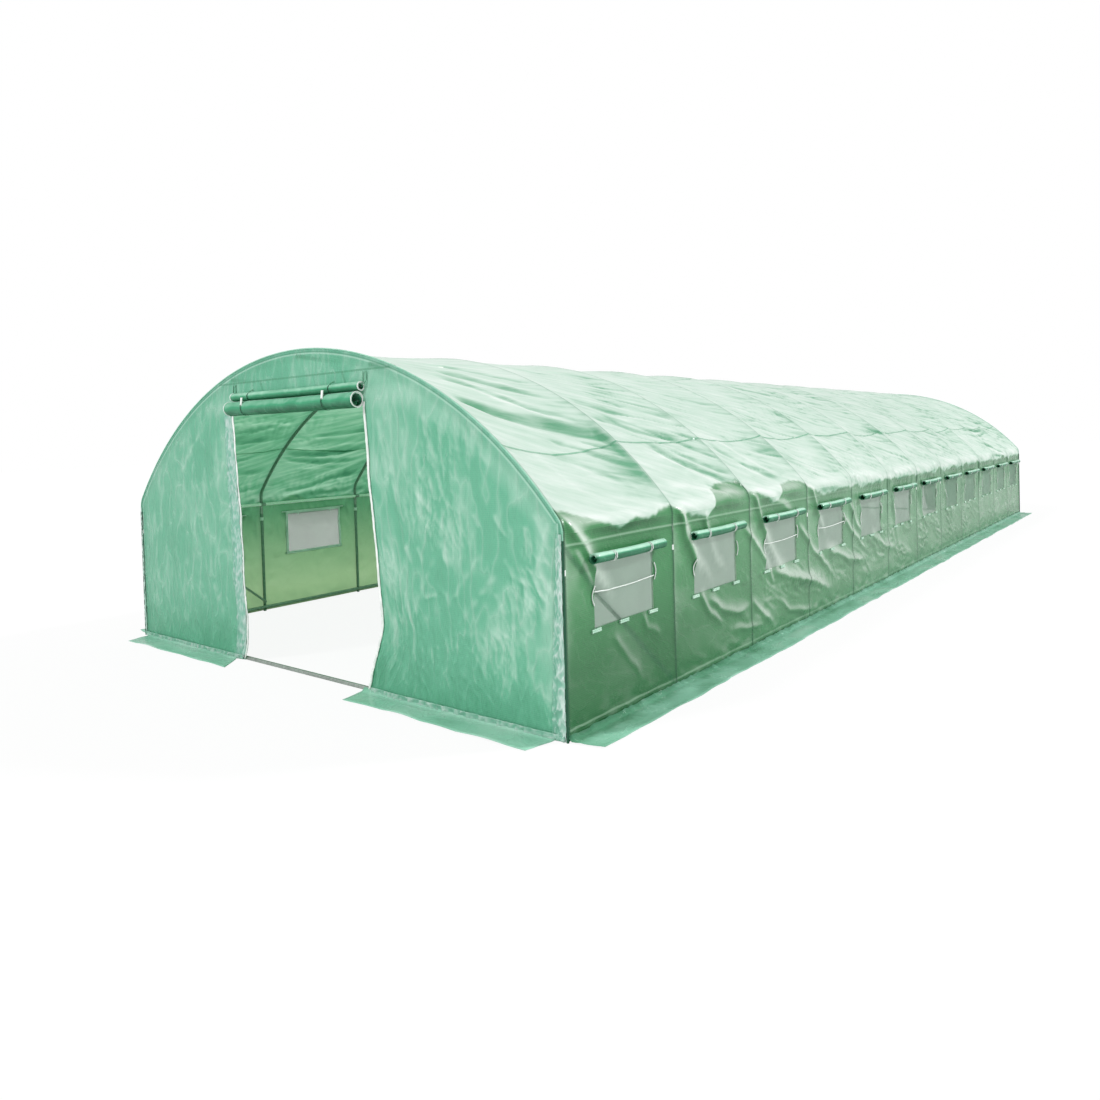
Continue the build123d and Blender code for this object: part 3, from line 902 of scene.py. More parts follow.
def wall_lines(tree, place, shade):
    """Hoop legs and the end braces dark behind the wall as painted shade, rails pale with a painted shadow
    below, the foot in its own painted shadow, and the wall paler further along.
    """
    x, y, z = tree.split(place)
    run = tree.math("ADD", half_length, tree.times(tree.math("SIGN", x), y))
    # Painted shadow: the foot darker in the first bays; further along the whole wall paler
    low = tree.times(tree.range(z, 0.70, 0.30, 0.0, 0.70), tree.range(run, 0.8, 2.2, 1.0, 0.35))
    shade = tree.mix(low, shade, wall_deep)
    shade = tree.mix(tree.range(run, 0.9, 4.5, 0.0, 0.34), shade, colour(168, 202, 178))
    near = tree.range(run, 2.2, 4.2, 1.0, 0.15)
    # Rails pale, each with a painted shadow under it
    for level, width, strength, tint in (
        (eave_rail_z, 0.006, tree.times(near, 0.60), rail_shade),
        (eave_rail_z - 0.014, 0.006, tree.times(near, 0.30), wall_deep),
        (base_rail_z + 0.012, 0.006, 0.55, rail_shade),
        (base_rail_z - 0.016, 0.010, 0.70, wall_deep),
    ):
        line = tree.group(level_lines, vector=place, level=level, half_width=width)["Line"]
        shade = tree.mix(tree.times(line, strength), shade, tint)
    # Painted shade of the brace and hoop legs behind the film
    brace = tree.group(brace_lines, vector=place, half_width=0.017)["Line"]
    shade = tree.mix(tree.times(brace, 0.55), shade, colour(34, 92, 62))
    hoops = tree.group(hoop_lines, vector=place, half_width=tube_radius * 0.7)["Line"]
    return tree.mix(tree.times(hoops, 0.80), shade, colour(24, 84, 54))


def wall_lining(tree, place, level):
    """Inner face of the walls: deep green near the eave, lighter and more yellow towards the ground."""
    z = tree.split(place)[2]
    high = shade_ramp(tree, level, colour(80, 142, 106), colour(110, 172, 130), colour(156, 206, 164))
    low = shade_ramp(tree, level, colour(142, 180, 134), colour(186, 214, 168), colour(212, 232, 196))
    return tree.mix(tree.range(z, 0.85, 0.15), high, low)


def gable_lines(tree, place, shade):
    """The end hoop as painted bands of shade beside a painted pale highlight, and the header over the door
    and tubes seen end on as painted shade behind the film.
    """
    # Painted shade and highlight along the end hoop
    for inside, width, strength, tint in (
        (0.004, 0.004, 0.45, colour(64, 138, 104)),
        (0.013, 0.005, 0.60, colour(190, 230, 212)),
        (0.040, 0.020, 0.16, colour(70, 146, 112)),
    ):
        line = tree.group(hoop_bands, vector=place, inside=inside, half_width=width)["Line"]
        shade = tree.mix(tree.times(line, strength), shade, tint)
    x, y, z = tree.split(place)
    within = tree.math("LESS_THAN", tree.math("ABSOLUTE", x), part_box("door_headers")[1].x)
    line = tree.group(level_lines, vector=place, level=header_z, half_width=0.0055)["Line"]
    shade = tree.mix(tree.times(line, within, 0.60), shade, colour(74, 144, 110))
    seen = tree.add("ShaderNodeCombineXYZ")
    tree.feed(tree.times(x, tree.math("SIGN", y), -1.0), seen.inputs[0])
    tree.feed(z, seen.inputs[2])
    # Painted shade of the purlins and short tubes seen through the film
    for (start_x, start_z), (way_x, way_z), width, fade, strength in (
        ((0.02, ridge_z), (0.42, -0.07), 0.012, 0.9, 0.55),
        ((-purlin_x, purlin_z), (0.30, -0.03), 0.012, 0.9, 0.55),
        ((purlin_x, purlin_z), (0.22, -0.04), 0.014, 0.8, 0.65),
        ((-0.360, header_z - 0.015), (0.028, -0.060), 0.009, 0.2, 0.50),
        ((0.456, header_z - 0.005), (0.028, -0.060), 0.009, 0.2, 0.50),
    ):
        line = tree.group(
            short_lines, vector=seen.outputs[0], **{"from": (start_x, 0, start_z)}, way=(way_x, 0, way_z),
            half_width=width, fade=fade,
        )["Line"]
        shade = tree.mix(tree.times(line, strength), shade, colour(66, 140, 106))
    return shade


cover_film = film_material(
    "cover_film", wall_deep, wall_body, wall_pale, colour(70, 160, 96),
    crease_shade=0.03, crease_depth=0.0008, stretch=(0.7, 1.2, 1), turn=-0.35,
    inside=wall_lining, lines=wall_lines,
    upper=((colour(100, 164, 130), colour(198, 220, 207), colour(240, 245, 242)),
           (colour(72, 142, 106), colour(112, 180, 142), colour(184, 226, 200))),
)
gable_outside = film_material(
    "gable_film", colour(66, 144, 112), colour(110, 184, 154), colour(214, 240, 228), colour(72, 168, 122),
    crease_scale=7.0, crease_depth=0.003, crease_shade=0.12, stretch=(1.6, 0.5, 1), thread=0.55,
    lines=gable_lines,
    inside=(colour(60, 132, 96), colour(90, 168, 126), colour(150, 208, 172)),
)
roll_green = film_material(
    "rolled_film", colour(14, 84, 54), colour(54, 150, 108), colour(190, 238, 214), colour(30, 110, 70),
    through=0.06, crease_scale=7.0, rough=0.52,
)
skirt_film = film_material(
    "ground_film", colour(84, 152, 116), colour(146, 206, 180), colour(200, 234, 218), colour(100, 190, 150),
    through=0.12, crease_scale=5.0,
)
hem_film = film_material(
    "hem_film", colour(70, 146, 112), colour(132, 194, 170), colour(226, 241, 236), colour(140, 210, 175),
    crease_scale=16.0, crease_depth=0.0015, stretch=(1.4, 0.6, 1),
)
doubled_film = film_material(
    "doubled_film", colour(92, 164, 132), colour(140, 202, 180), colour(236, 246, 246), colour(120, 200, 160),
    crease_scale=12.0, crease_depth=0.0015, stretch=(1.5, 0.6, 1),
)
seam_film = film_material(
    "seam_film", colour(86, 150, 118), colour(140, 192, 164), colour(196, 222, 208), colour(110, 180, 140),
)
# Dark green: the door straps' own colour, and the painted shade of the film on the corner posts
corner_film = film_material(
    "corner_film", colour(10, 70, 46), colour(24, 104, 70), colour(80, 160, 122), colour(30, 110, 70),
    through=0.06, crease_scale=12.0,
)
zinc = tube_material("zinc_tube", colour(150, 158, 152), 0.75, 0.36)
rail_zinc = tube_material("rail_tube", colour(240, 248, 234), 0.0, 0.42)
green_zinc = tube_material("hoop_tube", colour(120, 140, 128), 0.6, 0.40)
white_tape = tape_material("white_tape", colour(240, 243, 240), colour(206, 216, 210))
insect_mesh = mesh_material("insect_mesh", colour(124, 146, 132), colour(104, 126, 112))
patch_tape = tape_material("patch_tape", colour(178, 210, 190), colour(150, 192, 168))
edge_tape = tape_material("edge_tape", colour(146, 200, 176), colour(126, 184, 158))
cord_green = tape_material("green_cord", colour(96, 158, 126), colour(70, 134, 102))
white_plastic = tape_material("white_plastic", colour(236, 240, 236), colour(214, 222, 216), 0.02)


def add_piece(name, mesh, materials, replaces=()):
    piece = bpy.data.objects.new(name, mesh)
    bpy.context.scene.collection.objects.link(piece)
    for material in materials:
        mesh.materials.append(material)
    mesh.polygons.foreach_set("use_smooth", [True] * len(mesh.polygons))
    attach(piece, "root")
    if replaces:
        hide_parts(*replaces)
    return piece


def is_window(y, s):
    run = (y + half_length) % bay
    height = foot + (s if s < crown_s else 2 * crown_s - s)
    return window_near < run < window_far and window_sill < height < window_head


def other_side(rows):
    """The same rows counted down the left side."""
    return [2 * crown_s - s for s in reversed(rows)]


# The long cover, in the strips that it is sewn from: where each strip's rows change, and how many there are
lip_start = wall_end - 0.075
side_columns = {"right": bay_columns(92, 42), "left": bay_columns(72, 26)}
row_counts = {"right": ((34, 24, 6, 8), (9, 40), (78, 28)), "left": ((16, 11, 4, 7), (8, 34), (56, 24))}
strips = (
    ("wall", (0, window_sill - foot, window_head - foot, lip_start, wall_end), ["side_cover_{}"]),
    ("eave", (wall_end, bend_end, seam_s), ["eave_cover_{}"]),
    ("roof", (seam_s, purlin_s, crown_s), ["roof_cover_{}_lower", "roof_cover_{}_upper"]),
)
for side_name, columns in side_columns.items():
    for (part, stops, nodes), counts in zip(strips, row_counts[side_name]):
        rows = steps(stops[0], *(value for pair in zip(counts, stops[1:]) for value in pair))
        if side_name == "left":
            rows = other_side(rows)
        hole, slot = (is_window, "side_film") if part == "wall" else (None, "roof_film")
        name = f"{part}_film_{side_name}"
        mesh = skin_mesh(name, columns, rows, hole=hole)
        strip = add_piece(name, mesh, [cover_film], [node.format(side_name) for node in nodes])


def arch_top(x):
    """Height of the cover's outer edge at x, on the wall as high as the bend begins."""
    x = np.abs(x)
    bend_top = bend_z + np.sqrt(bend_skin**2 - np.clip(x - bend_x, 0, bend_skin) ** 2)
    return np.where(x > bend_side, bend_top, arch_centre + np.sqrt(arch_skin**2 - x**2))


# The loose edges of the doorway, as heights and places of the two edges
left_edge = ([0.0, 0.10, 0.28, 0.67, 1.26, 1.65], [-0.662, -0.622, -0.580, -0.587, -0.629, -0.650])
right_edge = ([0.0, 0.12, 0.26, 0.41, 0.76, 1.26, 1.65], [0.590, 0.640, 0.716, 0.772, 0.740, 0.681, 0.660])


def soft_line(places, values, at):
    """Smooth line through a few points."""
    fine = np.linspace(places[0], places[-1], 200)
    line = np.interp(fine, places, values)
    for _ in range(14):
        line[1:-1] = (line[:-2] + 2 * line[1:-1] + line[2:]) / 4
    return np.interp(at, fine, line)


# Wrinkles of the end film seen from outside: half width and the line each follows, as x and height
gable_wrinkles = [
    (0.016, [(0.95, 1.50), (0.96, 1.42), (0.97, 1.32), (0.98, 1.18)]),
    (0.011, [(1.06, 1.36), (1.07, 1.28), (1.08, 1.20)]),
    (0.013, [(1.11, 1.60), (1.14, 1.47), (1.19, 1.34), (1.22, 1.20), (1.25, 1.10)]),
    (0.013, [(1.47, 1.50), (1.49, 1.43), (1.52, 1.35), (1.60, 1.26)]),
    (0.009, [(1.46, 1.05), (1.51, 0.97)]),
    (0.009, [(1.60, 1.05), (1.65, 0.98), (1.69, 0.92)]),
    (0.009, [(1.12, 0.98), (1.17, 0.90)]),
    (0.018, [(1.03, 1.15), (1.10, 1.10), (1.17, 1.03), (1.26, 0.97), (1.33, 0.86)]),
    (0.017, [(1.21, 0.90), (1.26, 0.81), (1.30, 0.74)]),
    (0.011, [(1.03, 0.86), (1.09, 0.75)]),
    (0.011, [(0.92, 0.86), (0.98, 0.75)]),
    (0.010, [(1.52, 0.86), (1.36, 0.67), (1.22, 0.50)]),
    (0.012, [(1.62, 0.76), (1.46, 0.60), (1.30, 0.40)]),
    (0.014, [(1.20, 0.82), (1.10, 0.69), (1.01, 0.55), (0.87, 0.38)]),
    (0.007, [(1.08, 0.59), (1.21, 0.61)]),
    (0.010, [(1.17, 0.68), (1.25, 0.62), (1.30, 0.54)]),
    (0.011, [(1.66, 0.84), (1.73, 0.73)]),
    (0.011, [(1.78, 0.76), (1.80, 0.67), (1.86, 0.56)]),
    (0.012, [(1.86, 1.06), (1.89, 0.98), (1.94, 0.90)]),
    (0.010, [(1.80, 1.00), (1.82, 0.86)]),
    (0.010, [(1.60, 0.66), (1.66, 0.54)]),
    (0.010, [(1.90, 0.90), (1.95, 0.76)]),
    (0.010, [(1.82, 0.80), (1.86, 0.73), (1.92, 0.62)]),
    (0.014, [(0.76, 1.56), (0.80, 1.36), (0.83, 1.12)]),
    (0.014, [(0.84, 1.30), (0.88, 1.10), (0.92, 0.96)]),
    (0.014, [(-0.72, 1.58), (-0.82, 1.33), (-0.98, 1.02)]),
    (0.016, [(-1.42, 1.18), (-1.20, 1.42), (-0.94, 1.63)]),
    (0.013, [(-1.02, 0.50), (-0.93, 0.29), (-0.92, 0.14)]),
    (0.011, [(-0.87, 0.88), (-0.78, 0.74)]),
    (0.010, [(-1.53, 0.27), (-1.48, 0.12)]),
    (0.010, [(-1.31, 0.22), (-1.28, 0.06)]),
]


def gable_shape(x, z, end):
    """Sideways pull of the door's loose edges, how far the end film stands out, and the painted shade and
    highlight of its folds.
    """
    inner = 1 - smooth(door_side, door_side + 0.55, np.abs(x))
    loose = inner * (1 - smooth(door_head - 0.05, door_head + 0.10, z))
    edge = np.where(x * end < 0, soft_line(*right_edge, z) - door_side, soft_line(*left_edge, z) + door_side)
    pull = np.where(end < 0, edge, -edge) * loose
    rim = arch_top(x) - z
    held = smooth(0, 0.22, rim) * smooth(0, 0.16, wall_x - np.abs(x)) * (0.35 + 0.65 * smooth(0, 0.30, z))
    lean = x + 0.12 * z
    seen_x = -end * x + 0.008 * noise(x / 0.06, z / 0.06, 131)
    seen_z = z + 0.008 * noise(x / 0.06, z / 0.06, 132)
    drawn = 0.0
    for width, line in gable_wrinkles:
        drawn = drawn + drawn_fold(seen_x, seen_z, width, 1.0, line)
    drawn = drawn * (0.75 + 0.5 * noise(x / 0.05, z / 0.07, 135))
    leaf = smooth(0.2, 0.9, seen_x) * 0.6 + 0.4
    crumpled = scattered(-0.25, 0.35, x / 0.36, z / 0.45, 3 + end) * smooth(0.0, 0.45, 1.75 - z) * leaf
    upright = creases(z, lean, 0.22, 0.055, 103 + end, 1.5) * crumpled
    small = creases(z + 0.4 * x, x + 0.25 * z, 0.08, 0.032, 113 + end, 1.5) * crumpled
    folds = 0.0050 * noise(z / 0.60, lean / 0.12, 101 + end) + 0.0034 * upright + 0.0016 * small
    folds = (folds + 0.0045 * drawn) * held + 0.0008 * noise(x / 0.07, z / 0.10, 125)
    folds = folds + 0.009 * loose * noise(x / 0.20, z / 0.24, 127 + end)
    belly = 0.016 * held * (1 - 0.5 * inner) + 0.018 * loose * smooth(0.05, 0.5, z)
    # Painted highlights along the wrinkles and creases, darker towards the foot, and a random tone
    paint = 0.10 * upright + 0.10 * small + 0.13 * drawn - 0.15 * smooth(0.50, 0.1, z)
    paint = paint + 0.07 * noise(x / 0.5, z / 0.6, 129) + 0.10 * noise(x / 0.14, z / 0.30, 133) * crumpled
    return pull, belly + folds, paint


def gable_point(x, z, end, lift=0.0):
    pull, out, paint = gable_shape(x, z, end)
    return np.stack([x + pull, end * (gable_y + np.maximum(out, -0.004) + lift), z], axis=1), paint


def gable_mesh(name, end, fine):
    """End film round its doorway. Columns run up to the hoop, and one row follows the door's head."""
    half = steps(0, round(20 * fine), door_side, round(54 * fine), bend_side, round(8 * fine), wall_x)
    columns = [-x for x in reversed(half[1:])] + half
    rows = steps(0, round(64 * fine), 1, round(12 * fine), 2)
    head_share = (door_head - foot) / (float(arch_top(door_side)) - foot)
    made = []

    def place(x, row):
        x = x * -end
        top = arch_top(x)
        head = np.where(np.abs(x) <= door_side + 1e-6, door_head, foot + (top - foot) * head_share)
        z = np.where(row <= 1, foot + (head - foot) * row, head + (top - head) * (row - 1))
        points, paint = gable_point(x, z, end)
        made.append(paint)
        return points, np.stack([x, z], axis=1)

    mesh = grid_mesh(name, columns, rows, place, lambda x, row: abs(x) < door_side and row < 1)
    x, y, z = point_normals(mesh)
    # Painted light: paler where the film faces up and to one side, plus the painted shade and highlight of
    # its folds
    add_marks(mesh, fold=np.clip(0.44 - 0.40 * end * x + 0.60 * z + made[0], 0, 1))
    return mesh


# The end films, the front one on a finer grid
for end_name, end, fine in (("front", -1, 2.3), ("back", 1, 1.3)):
    nodes = [f"{end_name}_gable_{part}" for part in ("left", "right", "top")]
    name = f"{end_name}_gable_film"
    gable = add_piece(name, gable_mesh(name, end, fine), [gable_outside], nodes)


def tube_mesh(name, routes, radius, resolution=3, closed=False):
    """Round tubes of one radius along routes of points, as one closed mesh each."""
    curve = bpy.data.curves.new(name, "CURVE")
    curve.dimensions = "3D"
    curve.bevel_depth = radius
    curve.bevel_resolution = resolution
    curve.use_fill_caps = not closed
    for route in routes:
        spline = curve.splines.new("POLY")
        spline.points.add(len(route) - 1)
        spline.points.foreach_set("co", [c for point in route for c in (*point, 1.0)])
        spline.use_cyclic_u = closed
    holder = bpy.data.objects.new(name, curve)
    mesh = bpy.data.meshes.new_from_object(holder)
    bpy.data.objects.remove(holder)
    bpy.data.curves.remove(curve)
    return mesh


def joined(name, meshes):
    """One mesh from several, which then go."""
    bm = bmesh.new()
    for mesh in meshes:
        bm.from_mesh(mesh)
        bpy.data.meshes.remove(mesh)
    whole = bpy.data.meshes.new(name)
    bm.to_mesh(whole)
    bm.free()
    return whole


def thicken(piece, thickness, offset=0.0):
    wall = piece.modifiers.new("thickness", "SOLIDIFY")
    wall.thickness = thickness
    wall.offset = offset


def hoop_route(y, offset=0.0, from_z=leg_top):
    """Points along a hoop's centre line, or offset outside it."""
    turns = np.concatenate([np.linspace(0, bend_angle, 7), np.linspace(bend_angle, math.pi / 2, 34)[1:]])
    quarter = [(half_width + offset, from_z)]
    for turn in turns[:7]:
        reach = bend_radius + offset
        quarter.append((bend_x + reach * math.cos(turn), bend_z + reach * math.sin(turn)))
    for turn in turns[7:]:
        reach = arch_radius + offset
        quarter.append((reach * math.cos(turn), arch_centre + reach * math.sin(turn)))
    other = [(-x, z) for x, z in reversed(quarter[:-1])]
    return [(x, y, z) for x, z in quarter + other]


hoop_places = [-half_length + bay * number for number in range(bay_count + 1)]

# Hoops and legs, round where the frame's are drawn with few sides
for number, y in enumerate(hoop_places, start=1):
    mesh = tube_mesh(f"hoop_{number:02d}", [hoop_route(y)], tube_radius)
    add_piece(f"hoop_{number:02d}", mesh, [green_zinc], [f"arch_{number:02d}"])

leg_places = [(side * half_width, y) for side in (-1, 1) for y in hoop_places]
legs = tube_mesh("legs", [[(x, y, 0.0), (x, y, leg_top)] for x, y in leg_places], tube_radius)
add_piece("legs", legs, [green_zinc], ["side_posts"])
sleeves = [[(x, y, leg_top - 0.045), (x, y, leg_top - 0.043), (x, y, leg_top + 0.045)] for x, y in leg_places]
add_piece("leg_sleeves", tube_mesh("leg_sleeves", sleeves, tube_radius + 0.0012), [zinc])

# Clamps where the long tubes cross the hoops, and the pale clips on the legs
rail_crossings = []
for node in ("eave_rails", "base_rails"):
    low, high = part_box(node)
    rail_x = high.x - tube_radius
    rail_z = (low.z + high.z) / 2
    rail_crossings += [(side * rail_x, y, rail_z) for side in (-1, 1) for y in hoop_places]
for x, z in ((-purlin_x, purlin_z), (0.0, ridge_z), (purlin_x, purlin_z)):
    rail_crossings += [(x, y, z) for y in hoop_places]
clamp_reach = 0.021
clamps = [[(x, y - clamp_reach, z), (x, y + clamp_reach, z)] for x, y, z in rail_crossings
          if abs(y) < half_length]
add_piece("rail_clamps", tube_mesh("rail_clamps", clamps, tube_radius + 0.002), [zinc])
clip_height = 0.79
clips = [[(x, y, clip_height - 0.014), (x, y, clip_height + 0.014)] for x, y in leg_places]
add_piece("leg_clips", tube_mesh("leg_clips", clips, tube_radius + 0.003), [white_plastic])


def ring_mesh(name, centre, across, up, radius, width, segments=18):
    """Flat band round a roll. across and up span the ring, and its width runs along the roll."""
    along = across.cross(up)

    def place(turn, share):
        reach = radius + 0.0008 * np.sin(3 * turn)
        points = (
            np.array(centre)[None, :]
            + np.outer(reach * np.cos(turn), across)
            + np.outer(reach * np.sin(turn), up)
            + np.outer(share * width, along)
        )
        return points, np.stack([turn * radius, share * width], axis=1)

    return grid_mesh(name, list(np.linspace(0, 2 * math.pi, segments + 1)), [-0.5, 0.5], place)


spiral_power = 0.16


def roll_place(centre, along, outward, length, outer, core, turns, seed, ties, droop, gleam):
    """Place of a sheet wound on itself, drawn in where it is tied and sagging a little between the ties.

    gleam holds the painted light: how pale its shaded lower half is, then its lit top, and the heights
    between which that changes.
    """
    up = Vector((0, 0, 1))
    last = 2 * math.pi * turns

    def place(run, angle):
        share = angle / last
        pinch = 1 - 0.07 * sum(np.exp(-(((run - tie) / 0.016) ** 2)) for tie in ties)
        lumps = 1 + 0.030 * noise(run / 0.16, angle / 1.3, seed)
        lumps = lumps + 0.012 * noise(run / 0.035, angle / 0.9, seed + 1)
        reach = (core + (outer - core) * share**spiral_power) * pinch * (1 + (lumps - 1) * share)
        turn = angle - last - math.pi / 2
        sag = -droop * np.sin(math.pi * (run / length + 0.5)) ** 2
        points = (
            np.array(centre)[None, :]
            + np.outer(run, along)
            + np.outer(reach * np.cos(turn), outward)
            + np.outer(reach * np.sin(turn) + sag, up)
        )
        low, high, start, stop = gleam
        # Painted light: paler towards the top, with a painted highlight along it, and lumps paler where they
        # bulge
        fold = low + (high - low) * smooth(start, stop, np.sin(turn)) + 2.5 * (lumps - 1)
        fold = fold + 0.30 * smooth(0.86, 0.97, np.sin(turn))
        return points, np.stack([run, angle * outer], axis=1), {"fold": np.clip(fold, 0, 1)}

    return place


def roll_mesh(name, place, length, turns, around, lengthwise):
    runs = list(np.linspace(-length / 2, length / 2, lengthwise + 1))
    return grid_mesh(name, runs, list(np.linspace(0, 2 * math.pi * turns, around + 1)), place)


# Windows: mesh behind each opening, the rolled flap above it, its ties, tapes and patches
window_middle = (window_near + window_far) / 2
opening = window_head - window_sill
screen_rows = steps(window_sill - screen_lap - foot, 10, window_head + screen_lap - foot)
flap_core, flap_turns = 0.007, 1.75
tie_runs = (-0.165, 0.175)


def between_windows(y, s):
    run = (y + half_length) % bay
    return not window_near - screen_lap < run < window_far + screen_lap


for name, side in (("right", 1), ("left", -1)):
    screen_count, around, lengthwise = (16, 34, 22) if side > 0 else (10, 22, 12)
    columns = []
    for start in hoop_places[:-1]:
        columns += steps(start + window_near - screen_lap, screen_count, start + window_far + screen_lap)
    rows = screen_rows if side > 0 else other_side(screen_rows)
    mesh = skin_mesh(f"insect_screens_{name}", columns, rows, -0.004, between_windows)
    screens = add_piece(
        f"insect_screens_{name}", mesh, [insect_mesh], [f"window_screens_{name}"]
    )

    roll_low, roll_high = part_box(f"window_rolls_{name}")
    roll_z = (roll_low.z + roll_high.z) / 2
    roll_radius = (roll_high.z - roll_low.z) / 2
    roll_x = (roll_low.x + roll_high.x) / 2
    roll_length = roll_high.y - roll_low.y - (bay_count - 1) * bay
    flap_outer = roll_radius - 0.002
    rolls, ties, tapes, patches, cords, linings = [], [], [], [], [], []
    for number, start in enumerate(hoop_places[:-1]):
        centre = Vector((roll_x - side * 0.006, start + window_middle, roll_z))
        outward = Vector((side, 0, 0))
        place = roll_place(
            centre, Vector((0, 1, 0)), outward, roll_length, flap_outer, flap_core, flap_turns,
            200 + number + 20 * side, tie_runs, 0.004, (0.10, 0.95, 0.10, 0.70),
        )
        rolls.append(roll_mesh(f"roll_{number}", place, roll_length, flap_turns, around, lengthwise))
        for run in tie_runs:
            for shift in (-0.007, 0.007):
                at = centre + Vector((0, run + shift, -0.003))
                ties.append(ring_mesh("tie", at, outward, Vector((0, 0, 1)), roll_radius - 0.0012, 0.0045))

        def lay(places, heights, lift):
            """Points on the film of this bay, lift outside it."""
            s = np.array(heights) - foot
            s = s if side > 0 else 2 * crown_s - s
            return [tuple(p) for p in skin_place(start + np.array(places), s, lift)[0]]

        bow = np.linspace(0, 1, 9)
        for edge, way, low, high in ((window_near, -1, 0.34, 0.64), (window_far, 1, 0.48, 0.76)):
            height = window_sill + opening * (low + (high - low) * bow)
            tapes.append(lay(edge + way * (0.006 + 0.016 * np.sin(math.pi * bow)), height, 0.005))
        for patch_start in (window_near - 0.03, window_middle - 0.05, window_far - 0.05):
            for level in (window_sill - 0.006, window_sill - 0.015):
                patch = np.linspace(patch_start, patch_start + 0.08, 6)
                patches.append(lay(patch, np.full(6, level), 0.004))
        if number in (0, 2, 3):
            hang = window_sill + opening * 0.55 - 0.012 * np.sin(math.pi * np.linspace(0, 1, 11))
            cords.append(lay(np.linspace(window_near - 0.01, window_far, 11), hang, 0.006))
        behind_roll = np.linspace(window_middle - roll_length / 2, window_middle + roll_length / 2, 9)
        linings.append(lay(behind_roll, np.full(9, roll_z), -0.007))
        for run in tie_runs:
            down = roll_z - np.array([0.0, 0.018, 0.036])
            linings.append(lay(np.full(3, window_middle + run), down, -0.008))
        for away in (0.005, 0.015):
            level = np.linspace(window_near - away, window_far + away, 9)
            upright = np.linspace(window_sill - away, window_head + away, 7)
            for height in (window_sill - away, window_head + away):
                linings.append(lay(level, np.full(9, height), -0.0085))
            for run in (window_near - away, window_far + away):
                linings.append(lay(np.full(7, run), upright, -0.0085))
    window_rolls = add_piece(
        f"rolled_flaps_{name}", joined("rolls", rolls), [roll_green], [f"window_rolls_{name}"]
    )
    thicken(window_rolls, 0.003)
    tie_bands = add_piece(f"window_ties_{name}", joined("ties", ties), [white_tape])
    thicken(tie_bands, 0.0016, 1.0)
    trims = [tube_mesh("tapes", tapes, 0.0034, 1), tube_mesh("cords", cords, 0.0032, 1)]
    add_piece(f"window_tapes_{name}", joined("tapes", trims), [white_tape])
    add_piece(f"window_patches_{name}", tube_mesh("patches", patches, 0.0055, 1), [patch_tape])
    add_piece(f"window_linings_{name}", tube_mesh("linings", linings, 0.0055, 1), [white_tape])


def buckle_mesh(place, tilt):
    """Small rounded bar, leaning over a roll."""
    bm = bmesh.new()
    bmesh.ops.create_cube(bm, size=1.0)
    bmesh.ops.scale(bm, vec=(0.018, 0.006, 0.052), verts=bm.verts)
    bmesh.ops.bevel(
        bm, geom=bm.edges[:], offset=0.002, segments=2, affect="EDGES", profile=0.5, material=-1
    )
    bmesh.ops.rotate(bm, cent=(0, 0, 0), matrix=Matrix.Rotation(tilt, 3, "X"), verts=bm.verts)
    bmesh.ops.translate(bm, vec=place, verts=bm.verts)
    mesh = bpy.data.meshes.new("buckle")
    bm.to_mesh(mesh)
    bm.free()
    return mesh


